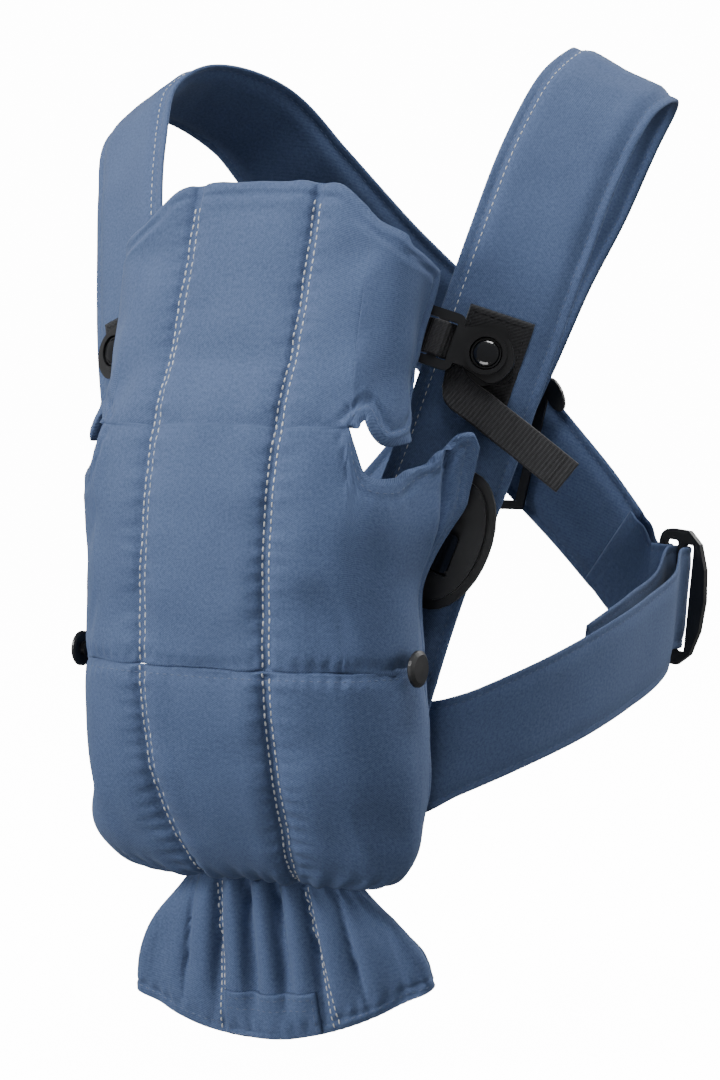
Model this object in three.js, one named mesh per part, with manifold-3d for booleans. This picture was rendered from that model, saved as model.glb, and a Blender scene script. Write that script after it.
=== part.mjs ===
// Soft front baby carrier: a harness worn on the shoulders, a padded pouch in front of it, a head
// support that folds down, and the plastic clips, clasps and rings that join them.
// Millimetres. +X is the wearer's left, -Y is the front, +Z is up. The origin lies midway between
// the highest lines of the two shoulder straps, where the wearer's shoulders carry them.
import * as THREE from "three";
import { mergeVertices } from "three/addons/utils/BufferGeometryUtils.js";
import Module from "manifold-3d";

const wasm = await Module();
wasm.setup();

// ---- Driving dimensions -----------------------------------------------------------------------

const GAP = 0.4; // between solids that touch on the real carrier

const STRAP_WIDTH = 62;
const STRAP_THICK = 6.4;
const LAYER_SHIFT = 6.6; // each shoulder strap steps this far in or out where the two cross
const STRAP_SPREAD = 10; // the right strap hangs this much wider than the left one

const WAIST_WIDTH = 56;
const WAIST_THICK = 2.4;
const LOOP_THICK = 1.6;

const PAD_BACK_Y = -92; // the face that lies on the wearer's belly
const PAD = { halfWidth: 72, top: -292, bottom: -388, thick: 10, corner: 16 };

const PANEL_THICK = 5;
const HEAD_FOLD_Z = -178.5;
const WAIST_SEAM_Z = -296;
const SEAM_GAP = 1.4;
const POUCH_BOTTOM_Z = -410;
const HEM_Z = -494;

const STUD = { collar: 7.5, bore: 6.8, button: 6.5, height: 5.4, travel: 2 };
const CLIP = { hole: 8.3, rim: 10.6, plate: 3, lockX: -25.5, lockWidth: 22, lockLength: 29 };
const WEBBING = { width: 18, thick: 1.5 };

const RING = { length: 74, thick: 4, slotLength: 62, bar: 4, innerSlot: 8, outerSlot: 6, bow: 7 };
const CROSS = { topHalf: 40, lowHalf: 17, height: 72, bar: 5, thick: 2.4, y: 111.6, z: -199, tilt: 0.15 };

// ---- Colours ----------------------------------------------------------------------------------

const CLOTH = { color: 0x5b7095, roughness: 0.85, metalness: 0 };
const LINING = { color: 0x4c5f80, roughness: 0.9, metalness: 0 };
const PLASTIC = { color: 0x2b2d31, roughness: 0.5, metalness: 0 };
const GLOSS = { color: 0x1d2026, roughness: 0.2, metalness: 0 };
const BLACK_CLOTH = { color: 0x232427, roughness: 0.9, metalness: 0 };

// ---- Helpers ----------------------------------------------------------------------------------

const vec = (x, y, z) => new THREE.Vector3(x, y, z);
const mix = THREE.MathUtils.lerp;
const smooth = THREE.MathUtils.smoothstep;

function named(name, look, geometry) {
  const mesh = new THREE.Mesh(geometry, new THREE.MeshStandardMaterial(look));
  mesh.name = name;
  return mesh;
}

// The value at x on a chain of [x, value] points, x rising, joined by straight lines.
function along(points, x) {
  let i = 1;
  while (i < points.length - 1 && points[i][0] < x) i += 1;
  const [x0, v0] = points[i - 1];
  const [x1, v1] = points[i];
  return mix(v0, v1, THREE.MathUtils.clamp((x - x0) / (x1 - x0), 0, 1));
}

function solid(geometry) {
  const bare = geometry.clone();
  bare.deleteAttribute("normal");
  bare.deleteAttribute("uv");
  const merged = mergeVertices(bare, 1e-4);
  return new wasm.Manifold(
    new wasm.Mesh({
      numProp: 3,
      vertProperties: merged.getAttribute("position").array,
      triVerts: new Uint32Array(merged.index.array),
    }),
  );
}

function surface(manifold) {
  const mesh = manifold.getMesh();
  const geometry = new THREE.BufferGeometry();
  geometry.setAttribute("position", new THREE.BufferAttribute(mesh.vertProperties, 3));
  geometry.setIndex(new THREE.BufferAttribute(mesh.triVerts, 1));
  geometry.computeVertexNormals();
  return geometry;
}

// A cylinder along Z, from one height to another.
function post(radius, from, to, sides = 32) {
  const cylinder = new THREE.CylinderGeometry(radius, radius, to - from, sides);
  return cylinder.rotateX(Math.PI / 2).translate(0, 0, (from + to) / 2);
}

function roundedRectangle(width, height, radius) {
  const x = width / 2;
  const y = height / 2;
  const shape = new THREE.Shape();
  shape.moveTo(-x + radius, -y);
  shape.lineTo(x - radius, -y);
  shape.absarc(x - radius, -y + radius, radius, -Math.PI / 2, 0);
  shape.lineTo(x, y - radius);
  shape.absarc(x - radius, y - radius, radius, 0, Math.PI / 2);
  shape.lineTo(-x + radius, y);
  shape.absarc(-x + radius, y - radius, radius, Math.PI / 2, Math.PI);
  shape.lineTo(-x, -y + radius);
  shape.absarc(-x + radius, -y + radius, radius, Math.PI, 1.5 * Math.PI);
  return shape;
}

function plate(shape, from, to, curveSegments = 5) {
  const options = { depth: to - from, bevelEnabled: false, curveSegments };
  return new THREE.ExtrudeGeometry(shape, options).translate(0, 0, from);
}

// A straight bar with a rounded section, bent so that it follows a route. frameAt(t) gives the
// centre, the direction across the band and the band's outward direction at t from 0 to 1.
function band(width, thick, steps, frameAt) {
  const section = roundedRectangle(width, thick, thick * 0.42);
  const options = { depth: 1, steps, bevelEnabled: false, curveSegments: 1 };
  const geometry = new THREE.ExtrudeGeometry(section, options);
  const position = geometry.getAttribute("position");
  for (let i = 0; i < position.count; i += 1) {
    const { centre, across, out } = frameAt(position.getZ(i));
    const point = centre.clone();
    point.addScaledVector(across, position.getX(i));
    point.addScaledVector(out, position.getY(i));
    position.setXYZ(i, point.x, point.y, point.z);
  }
  return geometry;
}

// The frames of a smooth route through stops of { at, out }; out is the outward direction there.
function routeFrames(stops) {
  const path = new THREE.CatmullRomCurve3(stops.map((stop) => stop.at), false, "centripetal");
  const outs = new THREE.CatmullRomCurve3(stops.map((stop) => stop.out), false, "centripetal");
  return (t) => {
    const tangent = path.getTangent(t);
    const out = outs.getPoint(t);
    out.addScaledVector(tangent, -out.dot(tangent)).normalize();
    const across = new THREE.Vector3().crossVectors(out, tangent);
    return { centre: path.getPoint(t), across, out, tangent };
  };
}

// ---- Shoulder straps --------------------------------------------------------------------------

// Stops of a shoulder strap's centre line, drawn for the left one, from the back end at the right
// D-ring, over the shoulder, to the end sewn on the belly pad. layer is -1 on the strap that lies
// next to the wearer's back where the two cross and 1 on the other; spread moves the soft
// stretches between the fixed ends outwards.
function shoulderStops(layer, spread) {
  const stop = (x, y, z, outX, outY, outZ) => ({ at: vec(x, y, z), out: vec(outX, outY, outZ) });
  const step = layer * LAYER_SHIFT;
  const sewnY = PAD_BACK_Y - PAD.thick - STRAP_THICK / 2 - 3 * GAP;
  return [
    stop(-79, 112, -256.2, -0.35, 0.93, 0.05),
    stop(-54, 115 + step * 0.5, -232, -0.2, 0.97, 0.08),
    stop(-25, 112 + step, -203, -0.05, 0.99, 0.1),
    stop(0, 107 + step, -174, 0.05, 0.99, 0.13),
    stop(19, 103 + step, -142, 0.1, 0.96, 0.2),
    stop(52 + spread, 88 + step * 0.5 - spread, -90, 0.4, 0.8, 0.45),
    stop(84 + spread * 0.6, 66 - spread, -50, 0.5, 0.68, 0.53),
    stop(112, 36 - spread * 0.2, -17, 0.5, 0.45, 0.74),
    stop(134, 0, -STRAP_THICK / 2, 0.46, 0, 0.88),
    stop(132 + spread, -28, -15, 0.46, -0.4, 0.8),
    stop(124 + spread, -51, -48, 0.45, -0.72, 0.53),
    stop(114 + spread, -68, -92, 0.42, -0.84, 0.34),
    stop(101 + spread, -84, -146, 0.38, -0.87, 0.3),
    stop(86 + spread * 0.8, -96, -200, 0.3, -0.95, 0.12),
    stop(68 + spread * 0.4, -104, -252, 0.15, -0.99, 0.03),
    stop(54, sewnY, -300, 0, -1, 0),
    stop(44, sewnY, -338, 0, -1, 0),
  ];
}

const STRAP_STOPS = 16; // spans between the shoulder strap's stops
const CLIP_AT = 12 / STRAP_STOPS; // where the head clip's stud is sewn on
const CLASP_AT = 13.6 / STRAP_STOPS; // where the side clasp is sewn on
const strapFrame = {
  left: routeFrames(shoulderStops(-1, 0)),
  right: routeFrames(shoulderStops(1, STRAP_SPREAD)),
};

function shoulderStrap(side) {
  return band(STRAP_WIDTH, STRAP_THICK, 40, strapFrame[side]);
}

// A group that sits on a strap's outer face at a point of its route, with its own X across the
// strap, away from the neck, its Y up the strap, and its Z out of it.
function onStrap(side, t, height) {
  const { centre, across, out, tangent } = strapFrame[side](t);
  const group = new THREE.Group();
  const basis = new THREE.Matrix4().makeBasis(across, tangent.clone().negate(), out);
  group.quaternion.setFromRotationMatrix(basis);
  group.position.copy(centre).addScaledVector(out, STRAP_THICK / 2 + height);
  return group;
}

// ---- D-ring, the strap loop on its inner bar and the waist strap round its middle bar -----------

const RING_CENTRE = vec(117, 108, -279); // the middle of the bar that the waist strap turns round
const RING_UP = vec(0.1, 0, 1).normalize();
const RING_OUT = vec(1, -0.12, -0.1).normalize();
const RING_BACK = new THREE.Vector3().crossVectors(RING_UP, RING_OUT).normalize();
const INNER_BAR = -(RING.bar / 2 + RING.innerSlot + RING.bar / 2);

function dRing() {
  const innerEdge = INNER_BAR - RING.bar / 2;
  const slotEdge = RING.bar / 2 + RING.outerSlot;
  const half = RING.length / 2;
  const bowEdge = slotEdge + 2 * RING.bow;
  const outline = new THREE.Shape();
  outline.moveTo(innerEdge, -half + 8);
  outline.quadraticCurveTo(innerEdge, -half, innerEdge + 8, -half);
  outline.lineTo(slotEdge - 4, -half);
  outline.bezierCurveTo(bowEdge, 4 - half, bowEdge, half - 4, slotEdge - 4, half);
  outline.lineTo(innerEdge + 8, half);
  outline.quadraticCurveTo(innerEdge, half, innerEdge, half - 8);
  const slots = [
    [-RING.bar / 2 - RING.innerSlot, RING.innerSlot, RING.slotLength],
    [RING.bar / 2, RING.outerSlot, RING.slotLength - 3],
  ];
  for (const [start, width, length] of slots) {
    const slot = roundedRectangle(width, length, 1.5).getPoints(2);
    const centre = new THREE.Vector2(start + width / 2, 0);
    outline.holes.push(new THREE.Path(slot.map((point) => point.clone().add(centre))));
  }
  return plate(outline, -RING.thick / 2, RING.thick / 2, 6);
}

// A point in the D-ring's own frame: out along RING_OUT and back along RING_BACK from its centre.
function ringPoint(out, back, up = 0) {
  const point = RING_CENTRE.clone().addScaledVector(RING_OUT, out);
  point.addScaledVector(RING_BACK, back);
  return point.addScaledVector(RING_UP, up);
}

// A thin band turned round a bar of the ring. Each stop states its own direction across.
function turnedBand(width, thick, steps, stops) {
  const path = new THREE.CatmullRomCurve3(stops.map((stop) => stop.at), false, "centripetal");
  const widths = new THREE.CatmullRomCurve3(stops.map((stop) => stop.across));
  return band(width, thick, steps, (t) => {
    const across = widths.getPoint(t).normalize();
    const out = new THREE.Vector3().crossVectors(path.getTangent(t), across).normalize();
    return { centre: path.getPoint(t), across, out };
  });
}

// The strap loop: sewn on the end of the right shoulder strap, round the left ring's inner bar.
function strapLoop() {
  const end = strapFrame.right(0);
  const across = vec(-end.across.x, end.across.y, end.across.z).negate();
  const tangent = vec(-end.tangent.x, end.tangent.y, end.tangent.z);
  const out = vec(-end.out.x, end.out.y, end.out.z);
  const centre = vec(-end.centre.x, end.centre.y, end.centre.z).addScaledVector(tangent, -2.8);
  const ply = 2.1;
  const turn = RING.bar / 2 + LOOP_THICK / 2 + 1.7;
  const stops = [
    { at: centre.clone().addScaledVector(out, ply), across },
    { at: ringPoint(INNER_BAR - 6, turn * 0.75), across: RING_UP },
    { at: ringPoint(INNER_BAR, turn), across: RING_UP },
    { at: ringPoint(INNER_BAR + turn * 0.75, turn * 0.75), across: RING_UP },
    { at: ringPoint(INNER_BAR + turn, 0), across: RING_UP },
    { at: ringPoint(INNER_BAR + turn * 0.75, -turn * 0.75), across: RING_UP },
    { at: ringPoint(INNER_BAR, -turn), across: RING_UP },
    { at: ringPoint(INNER_BAR - 6, -turn * 0.75), across: RING_UP },
    { at: centre.clone().addScaledVector(out, -ply), across },
  ];
  return turnedBand(WAIST_WIDTH, LOOP_THICK, 20, stops);
}

// The waist strap: from the belly pad's side, round the waist, through the ring's outer slot,
// round its middle bar and back through the inner slot, so its end lies inside the first ply.
function waistStrap() {
  const stop = (x, y, z, leanX = 0, leanY = 0) => ({ at: vec(x, y, z), across: vec(leanX, leanY, 1) });
  const turn = RING.bar / 2 + WAIST_THICK / 2 + 1;
  const ring = (out, back) => ({ at: ringPoint(out, back), across: RING_UP });
  const padEdge = PAD.halfWidth + GAP;
  const padMiddle = PAD_BACK_Y - PAD.thick / 2;
  const stops = [
    stop(padEdge, padMiddle, -346),
    stop(padEdge + 7, padMiddle + 1, -344, 0.1),
    stop(92, padMiddle + 10, -338, 0.2),
    stop(112, -58, -326, 0.18),
    stop(125, -18, -314, 0.12),
    stop(130, 28, -302, 0.1),
    stop(129, 72, -290, 0.1),
    ring(turn + 1, -10),
    ring(turn, 0),
    ring(turn * 0.7, turn * 0.8),
    ring(0, turn + 0.6),
    ring(-turn * 0.7, turn * 0.8),
    ring(-turn, 0),
    ring(-turn + 1.5, -12),
    stop(118, 72, -290, 0.1),
    stop(121, 28, -300, 0.1),
    stop(117.5, -14, -312, 0.12),
  ];
  return turnedBand(WAIST_WIDTH, WAIST_THICK, 44, stops);
}

// ---- Cross ring -------------------------------------------------------------------------------

// A flat frame between the two crossing straps, wide at the top and narrow at the bottom, with a
// lug at each upper corner.
function crossRing() {
  const high = CROSS.height / 2;
  const frame = new THREE.Shape();
  frame.moveTo(-CROSS.lowHalf, -high);
  frame.lineTo(CROSS.lowHalf, -high);
  frame.lineTo(CROSS.topHalf, high);
  frame.lineTo(-CROSS.topHalf, high);
  frame.closePath();
  const slope = (CROSS.topHalf - CROSS.lowHalf) / CROSS.height;
  const inside = high - CROSS.bar;
  const innerTop = CROSS.topHalf - CROSS.bar * (1.1 + slope);
  const innerLow = CROSS.lowHalf - CROSS.bar * (1.1 - slope);
  const hole = new THREE.Path();
  hole.moveTo(-innerLow, -inside);
  hole.lineTo(-innerTop, inside);
  hole.lineTo(innerTop, inside);
  hole.lineTo(innerLow, -inside);
  hole.closePath();
  frame.holes.push(hole);
  let ring = solid(plate(frame, -CROSS.thick / 2, CROSS.thick / 2));
  for (const side of [-1, 1]) {
    const lug = new THREE.Shape();
    lug.absellipse(side * (CROSS.topHalf + 2), high - 6, 5, 10, 0, 2 * Math.PI, false, side * 0.35);
    ring = ring.add(solid(plate(lug, -CROSS.thick / 2, CROSS.thick / 2, 8)));
  }
  return surface(ring);
}

// ---- Head clip: patch and base on the strap, push button, and the plate that snaps on ----------

const PATCH = { width: 34, length: 44, thick: 1 };
const BASE = { width: 24, length: 30, thick: 2.4, corner: 6, turn: 0.45 };
const BASE_UNDER = GAP + PATCH.thick + GAP;
const PLATE_UNDER = BASE_UNDER + BASE.thick + WEBBING.thick + 2 * GAP;
const LOCK_SLOT = 5.6;
const LOCK_SLOTS = [-5, 4.6]; // each slot's middle, from the lock's own

function clipPatch() {
  return plate(roundedRectangle(PATCH.width, PATCH.length, 2), 0, PATCH.thick, 2);
}

function clipBase() {
  const outline = roundedRectangle(BASE.width, BASE.length, BASE.corner);
  const body = solid(plate(outline, 0, BASE.thick).rotateZ(BASE.turn));
  const collar = solid(post(STUD.collar, BASE.thick / 2, BASE.thick + STUD.height, 28));
  const bore = solid(post(STUD.bore, BASE.thick * 0.4, BASE.thick + STUD.height + 1, 28));
  return surface(body.add(collar).subtract(bore));
}

// A domed button whose stem stands in the collar, clear of the bore's floor by its travel.
function clipButton() {
  const foot = BASE.thick * 0.4 + STUD.travel + 0.3;
  const rim = BASE.thick + STUD.height;
  const dome = 1.8;
  const profile = [new THREE.Vector2(0, foot), new THREE.Vector2(STUD.button, foot)];
  for (let i = 0; i <= 6; i += 1) {
    const angle = (i / 6) * (Math.PI / 2);
    const radius = i === 6 ? 0 : STUD.button * Math.cos(angle);
    profile.push(new THREE.Vector2(radius, rim + dome * Math.sin(angle)));
  }
  return new THREE.LatheGeometry(profile, 24).rotateX(Math.PI / 2);
}

// The plate: five rounded corners round the hole, and a ladder lock on the side of the pouch.
function clipPlate() {
  const outline = new THREE.Shape();
  outline.moveTo(-15, -9.5);
  outline.lineTo(-9, -9.5);
  outline.quadraticCurveTo(-4, -11, 3, -13);
  outline.quadraticCurveTo(9, -15, 13, -7);
  outline.quadraticCurveTo(16.5, 0, 12, 6);
  outline.quadraticCurveTo(8, 12.5, -2, 12.5);
  outline.lineTo(-15, 9);
  const tongue = solid(plate(outline, 0, CLIP.plate));
  const rim = solid(post(CLIP.rim, CLIP.plate - 0.5, CLIP.plate + 1.2, 28));
  const hole = solid(post(CLIP.hole, -1, CLIP.plate + 3, 28));

  const frame = roundedRectangle(CLIP.lockWidth, CLIP.lockLength, 4);
  for (const slotX of LOCK_SLOTS) {
    const slot = roundedRectangle(LOCK_SLOT, WEBBING.width + 1.6, 1).getPoints(2);
    const shifted = slot.map((point) => point.clone().add(new THREE.Vector2(slotX, 0)));
    frame.holes.push(new THREE.Path(shifted));
  }
  const lock = plate(frame, 0, CLIP.plate).translate(CLIP.lockX, 0, 0);
  return surface(tongue.add(rim).add(solid(lock)).subtract(hole));
}

// The webbing: from the head support's corner through the lock's slots to its hanging tail. The
// left tail lies across the strap; the right one hangs down inside the pouch, and its clip stands
// further from the head support, so its link is longer.
const TAILS = { left: [[-10, -19.5], [8, -27], [32, -35.5], [58, -45]], right: [[-22, -21], [-24, -36]] };

function clipWebbing(side) {
  const under = -GAP - WEBBING.thick / 2;
  const over = CLIP.plate + GAP + WEBBING.thick / 2;
  const middle = CLIP.plate / 2;
  const [first, second] = LOCK_SLOTS;
  const up = vec(0, 1, 0);
  const lock = (x, z) => ({ at: vec(CLIP.lockX + x, 0, z), across: up });
  const link = side === "left" ? 7.5 : 7.5 + STRAP_SPREAD;
  const lean = side === "left" ? vec(0.34, 0.94, 0) : vec(1, 0.1, 0);
  const tail = TAILS[side].map(([x, y], i) => ({ at: vec(x, y, under + 0.7 * i), across: lean }));
  const stops = [
    lock(first - link, under - 1),
    lock(first - 3.2, under),
    lock(first, middle),
    lock(first + 2.6, over),
    lock(second - 2.6, over),
    lock(second, middle),
    lock(second + 2.2, under),
    ...tail,
  ];
  return turnedBand(WEBBING.width, WEBBING.thick, 36, stops);
}

// ---- Side clasp -------------------------------------------------------------------------------

const CLASP = { halfWidth: 22, halfLength: 36, base: 2.4, shell: 2.8, offset: 14, lift: 1.6 };

function ovalShape(halfWidth, halfLength) {
  const shape = new THREE.Shape();
  shape.absellipse(0, 0, halfWidth, halfLength, 0, 2 * Math.PI, false, 0);
  return shape;
}

// The oval plate sewn on the strap, with the open channel that its latch slides in.
function claspPlate() {
  const body = solid(plate(ovalShape(CLASP.halfWidth, CLASP.halfLength), 0, CLASP.base, 16));
  const raised = ovalShape(CLASP.halfWidth - 4, CLASP.halfLength - 5);
  const dome = solid(plate(raised, CLASP.base - 0.5, CLASP.base + CLASP.shell, 14));
  const channel = new THREE.BoxGeometry(12.8, 30, CLASP.shell + 2);
  channel.translate(0, -2, CLASP.base + CLASP.shell / 2 + 1);
  return surface(body.add(dome).subtract(solid(channel)));
}

function claspLatch() {
  const slider = plate(roundedRectangle(12, 20, 3), CLASP.base + GAP, CLASP.base + CLASP.shell + 0.8, 4);
  return slider.translate(0, -6, 0);
}

// The hook sewn on the pouch's wing; it stands in front of the oval plate.
function claspHook() {
  const low = CLASP.base + CLASP.shell + 1.6;
  return plate(roundedRectangle(17, 30, 7), low, low + 3, 6).translate(-14, -25, 0);
}

// ---- Belly pad --------------------------------------------------------------------------------

function bellyPad() {
  const height = PAD.top - PAD.bottom;
  const pad = plate(roundedRectangle(2 * PAD.halfWidth, height, PAD.corner), 0, PAD.thick, 5);
  return pad.rotateX(Math.PI / 2).translate(0, PAD_BACK_Y, (PAD.top + PAD.bottom) / 2);
}

// ---- Pouch, head support and skirt: curved shells -------------------------------------------------

// One horizontal section of the pouch is a rounded U, open towards the wearer. Its numbers at each
// height: the front's y, the half width at its widest, the y where it is widest, and the x and y of
// its free rear edge.
const POUCH_SECTIONS = [
  { z: -410, front: -141, half: 56, wide: -130, rearX: 50, rearY: -114 },
  { z: -407, front: -149, half: 74, wide: -134, rearX: 66, rearY: -116 },
  { z: -398, front: -159, half: 86, wide: -137, rearX: 78, rearY: -118 },
  { z: -380, front: -171, half: 92, wide: -139, rearX: 86, rearY: -120 },
  { z: -345, front: -187, half: 95, wide: -142, rearX: 91, rearY: -120 },
  { z: -296, front: -195, half: 93, wide: -140, rearX: 89, rearY: -122 },
  { z: -262, front: -195, half: 92, wide: -138, rearX: 87, rearY: -121 },
  { z: -215, front: -191, half: 94, wide: -136, rearX: 106, rearY: -112 },
  { z: -178, front: -183, half: 93, wide: -134, rearX: 114, rearY: -110 },
];
const HEAD_SECTIONS = [
  { z: -190, front: -186, half: 90, wide: -140, rearX: 70, rearY: -122 },
  { z: -178, front: -182, half: 90, wide: -140, rearX: 74, rearY: -116 },
  { z: -145, front: -168, half: 87, wide: -136, rearX: 78.5, rearY: -110 },
  { z: -100, front: -152, half: 85, wide: -130, rearX: 84, rearY: -98 },
  { z: -58, front: -139, half: 80, wide: -122, rearX: 82, rearY: -95 },
];
const SKIRT_SECTIONS = [
  { z: HEM_Z, front: -118, half: 87, wide: -106, rearX: 80, rearY: -88 },
  { z: -470, front: -124, half: 80, wide: -110, rearX: 74, rearY: -94 },
  { z: -440, front: -131, half: 66, wide: -116, rearX: 60, rearY: -102 },
  { z: POUCH_BOTTOM_Z - GAP, front: -139, half: 50, wide: -124, rearX: 46, rearY: -114 },
];

const WING_START = 0.7; // the share of the U, from its middle, that is the rounded front
const SQUARENESS = 2.5; // the front's superellipse power: 2 is an ellipse, more is squarer

// The point at u (-1 to 1, from one rear edge round the front to the other) and height z.
function onSection(sections, u, z) {
  const value = (key) => along(sections.map((section) => [section.z, section[key]]), z);
  const side = Math.sign(u) || 1;
  const reach = Math.abs(u);
  const front = value("front");
  const half = value("half");
  const wide = value("wide");
  if (reach > WING_START) {
    const t = (reach - WING_START) / (1 - WING_START);
    return vec(side * mix(half, value("rearX"), t), mix(wide, value("rearY"), t), z);
  }
  const angle = (reach / WING_START) * (Math.PI / 2);
  const x = half * Math.sin(angle) ** (2 / SQUARENESS);
  const y = wide + (front - wide) * Math.cos(angle) ** (2 / SQUARENESS);
  return vec(side * x, y, z);
}

// A shell of even thickness inside the surface pointAt(u, v), u across from -1 to 1, v up from 0.
function shell(pointAt, thick, columns, rows) {
  const geometry = new THREE.BoxGeometry(2, 1, 1, columns, 1, rows);
  const position = geometry.getAttribute("position");
  const step = 0.01;
  for (let i = 0; i < position.count; i += 1) {
    const u = THREE.MathUtils.clamp(position.getX(i), -1 + step, 1 - step);
    const v = THREE.MathUtils.clamp(position.getZ(i) + 0.5, step, 1 - step);
    const acrossWay = pointAt(u + step, v).sub(pointAt(u - step, v));
    const upWay = pointAt(u, v + step).sub(pointAt(u, v - step));
    const inward = upWay.cross(acrossWay).normalize();
    const point = pointAt(position.getX(i), position.getZ(i) + 0.5);
    point.addScaledVector(inward, thick * (position.getY(i) + 0.5));
    position.setXYZ(i, point.x, point.y, point.z);
  }
  return geometry;
}

// The arm hole lies between these two edges, out from where the head support leaves the panel.
const FOLD_REACH = 0.365; // the share of the U, from its middle, along which the head support folds
const HEAD_EDGE = [
  [0, HEAD_FOLD_Z + GAP],
  [FOLD_REACH, HEAD_FOLD_Z + GAP],
  [0.39, -174],
  [0.44, -171.5],
  [0.47, -175],
  [0.52, -184],
  [0.58, -185.7],
  [0.7, -184],
  [0.85, -170],
  [1, -150],
];
const PANEL_EDGE = [
  [0, HEAD_FOLD_Z - GAP],
  [FOLD_REACH, HEAD_FOLD_Z - GAP],
  [0.39, -190],
  [0.43, -198.5],
  [0.5, -200.5],
  [0.56, -201],
  [0.65, -197],
  [0.8, -188],
  [0.9, -178],
  [1, -182],
];

const HEAD_TOP = [
  [0, -58],
  [0.2, -60],
  [0.33, -70],
  [0.42, -79],
  [0.62, -88],
  [0.8, -95],
  [1, -103],
];

function headLowerEdge(reach) {
  return along(HEAD_EDGE, reach);
}

function panelUpperEdge(reach) {
  return along(PANEL_EDGE, reach);
}

function headUpperEdge(reach) {
  return along(HEAD_TOP, reach);
}

function upperPanel() {
  const pointAt = (u, v) => {
    const z = mix(WAIST_SEAM_Z + SEAM_GAP / 2, panelUpperEdge(Math.abs(u)), v);
    return onSection(POUCH_SECTIONS, u, z);
  };
  return shell(pointAt, PANEL_THICK, 40, 6);
}

function lowerPanel() {
  const pointAt = (u, v) => {
    const z = mix(POUCH_BOTTOM_Z, WAIST_SEAM_Z - SEAM_GAP / 2, v ** 1.6);
    const lift = 10 * Math.abs(u) ** 4 * (1 - v) ** 2;
    const point = onSection(POUCH_SECTIONS, u, z);
    return point.add(vec(0, 0, lift));
  };
  return shell(pointAt, PANEL_THICK, 26, 10);
}

function headFlap() {
  const pointAt = (u, v) => {
    const reach = Math.abs(u);
    const z = mix(headLowerEdge(reach), headUpperEdge(reach), v);
    return onSection(HEAD_SECTIONS, u, z);
  };
  return shell(pointAt, PANEL_THICK, 40, 6);
}

// The hem rises towards the sides, and the soft skirt hangs a little lower on the wearer's right.
function skirtPoint(u, v) {
  const point = onSection(SKIRT_SECTIONS, u, mix(HEM_Z, POUCH_BOTTOM_Z - GAP, v));
  const rise = 14 * (point.x / 65) ** 2 + 6 * u ** 4 + 0.1 * point.x;
  return point.add(vec(-4 * (1 - v), 0, rise * (1 - v)));
}

function skirt() {
  return shell(skirtPoint, 4, 22, 4);
}

function hemTab() {
  const pointAt = (u, v) => {
    const point = skirtPoint(u * 0.15, mix(0.08, 0.26, v));
    return point.add(vec(0, -GAP - 1.2, 0));
  };
  return shell(pointAt, 1.2, 10, 3);
}

// The bridge between the legs, from the pouch's gathered bottom back to the belly pad.
function crotchBridge() {
  const stops = [
    { at: vec(0, -131, -404), across: vec(1, 0, 0) },
    { at: vec(0, -120, -405), across: vec(1, 0, 0) },
    { at: vec(0, -108, -401), across: vec(1, 0, 0) },
    { at: vec(0, -100, -391.5), across: vec(1, 0, 0) },
  ];
  return turnedBand(84, 5, 10, stops);
}

// ---- Seat knob --------------------------------------------------------------------------------

const KNOB = { radius: 9, rim: 2.2, neck: 4, stem: 2.4 };
const KNOB_AT = vec(94.2, -151, -295); // on the pouch's side, at the waist seam

function seatKnob() {
  const profile = [
    new THREE.Vector2(0, 0),
    new THREE.Vector2(KNOB.neck, 0),
    new THREE.Vector2(KNOB.neck, KNOB.stem),
    new THREE.Vector2(KNOB.radius - 0.8, KNOB.stem),
    new THREE.Vector2(KNOB.radius, KNOB.stem + 0.8),
    new THREE.Vector2(KNOB.radius, KNOB.stem + KNOB.rim),
    new THREE.Vector2(KNOB.radius - 2, KNOB.stem + KNOB.rim + 1.2),
    new THREE.Vector2(0, KNOB.stem + KNOB.rim + 1.8),
  ];
  return new THREE.LatheGeometry(profile, 24).rotateX(Math.PI / 2);
}

// ---- Assembly ---------------------------------------------------------------------------------

const carrier = new THREE.Group();

carrier.add(
  named("belly_pad", CLOTH, bellyPad()),
  named("upper_panel", CLOTH, upperPanel()),
  named("lower_panel", CLOTH, lowerPanel()),
  named("head_flap", CLOTH, headFlap()),
  named("skirt", CLOTH, skirt()),
  named("hem_tab", CLOTH, hemTab()),
  named("crotch_bridge", LINING, crotchBridge()),
);

const backCrossing = named("cross_ring", PLASTIC, crossRing());
backCrossing.rotation.x = Math.PI / 2 + CROSS.tilt;
backCrossing.position.set(0, CROSS.y, CROSS.z);
carrier.add(backCrossing);

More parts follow.
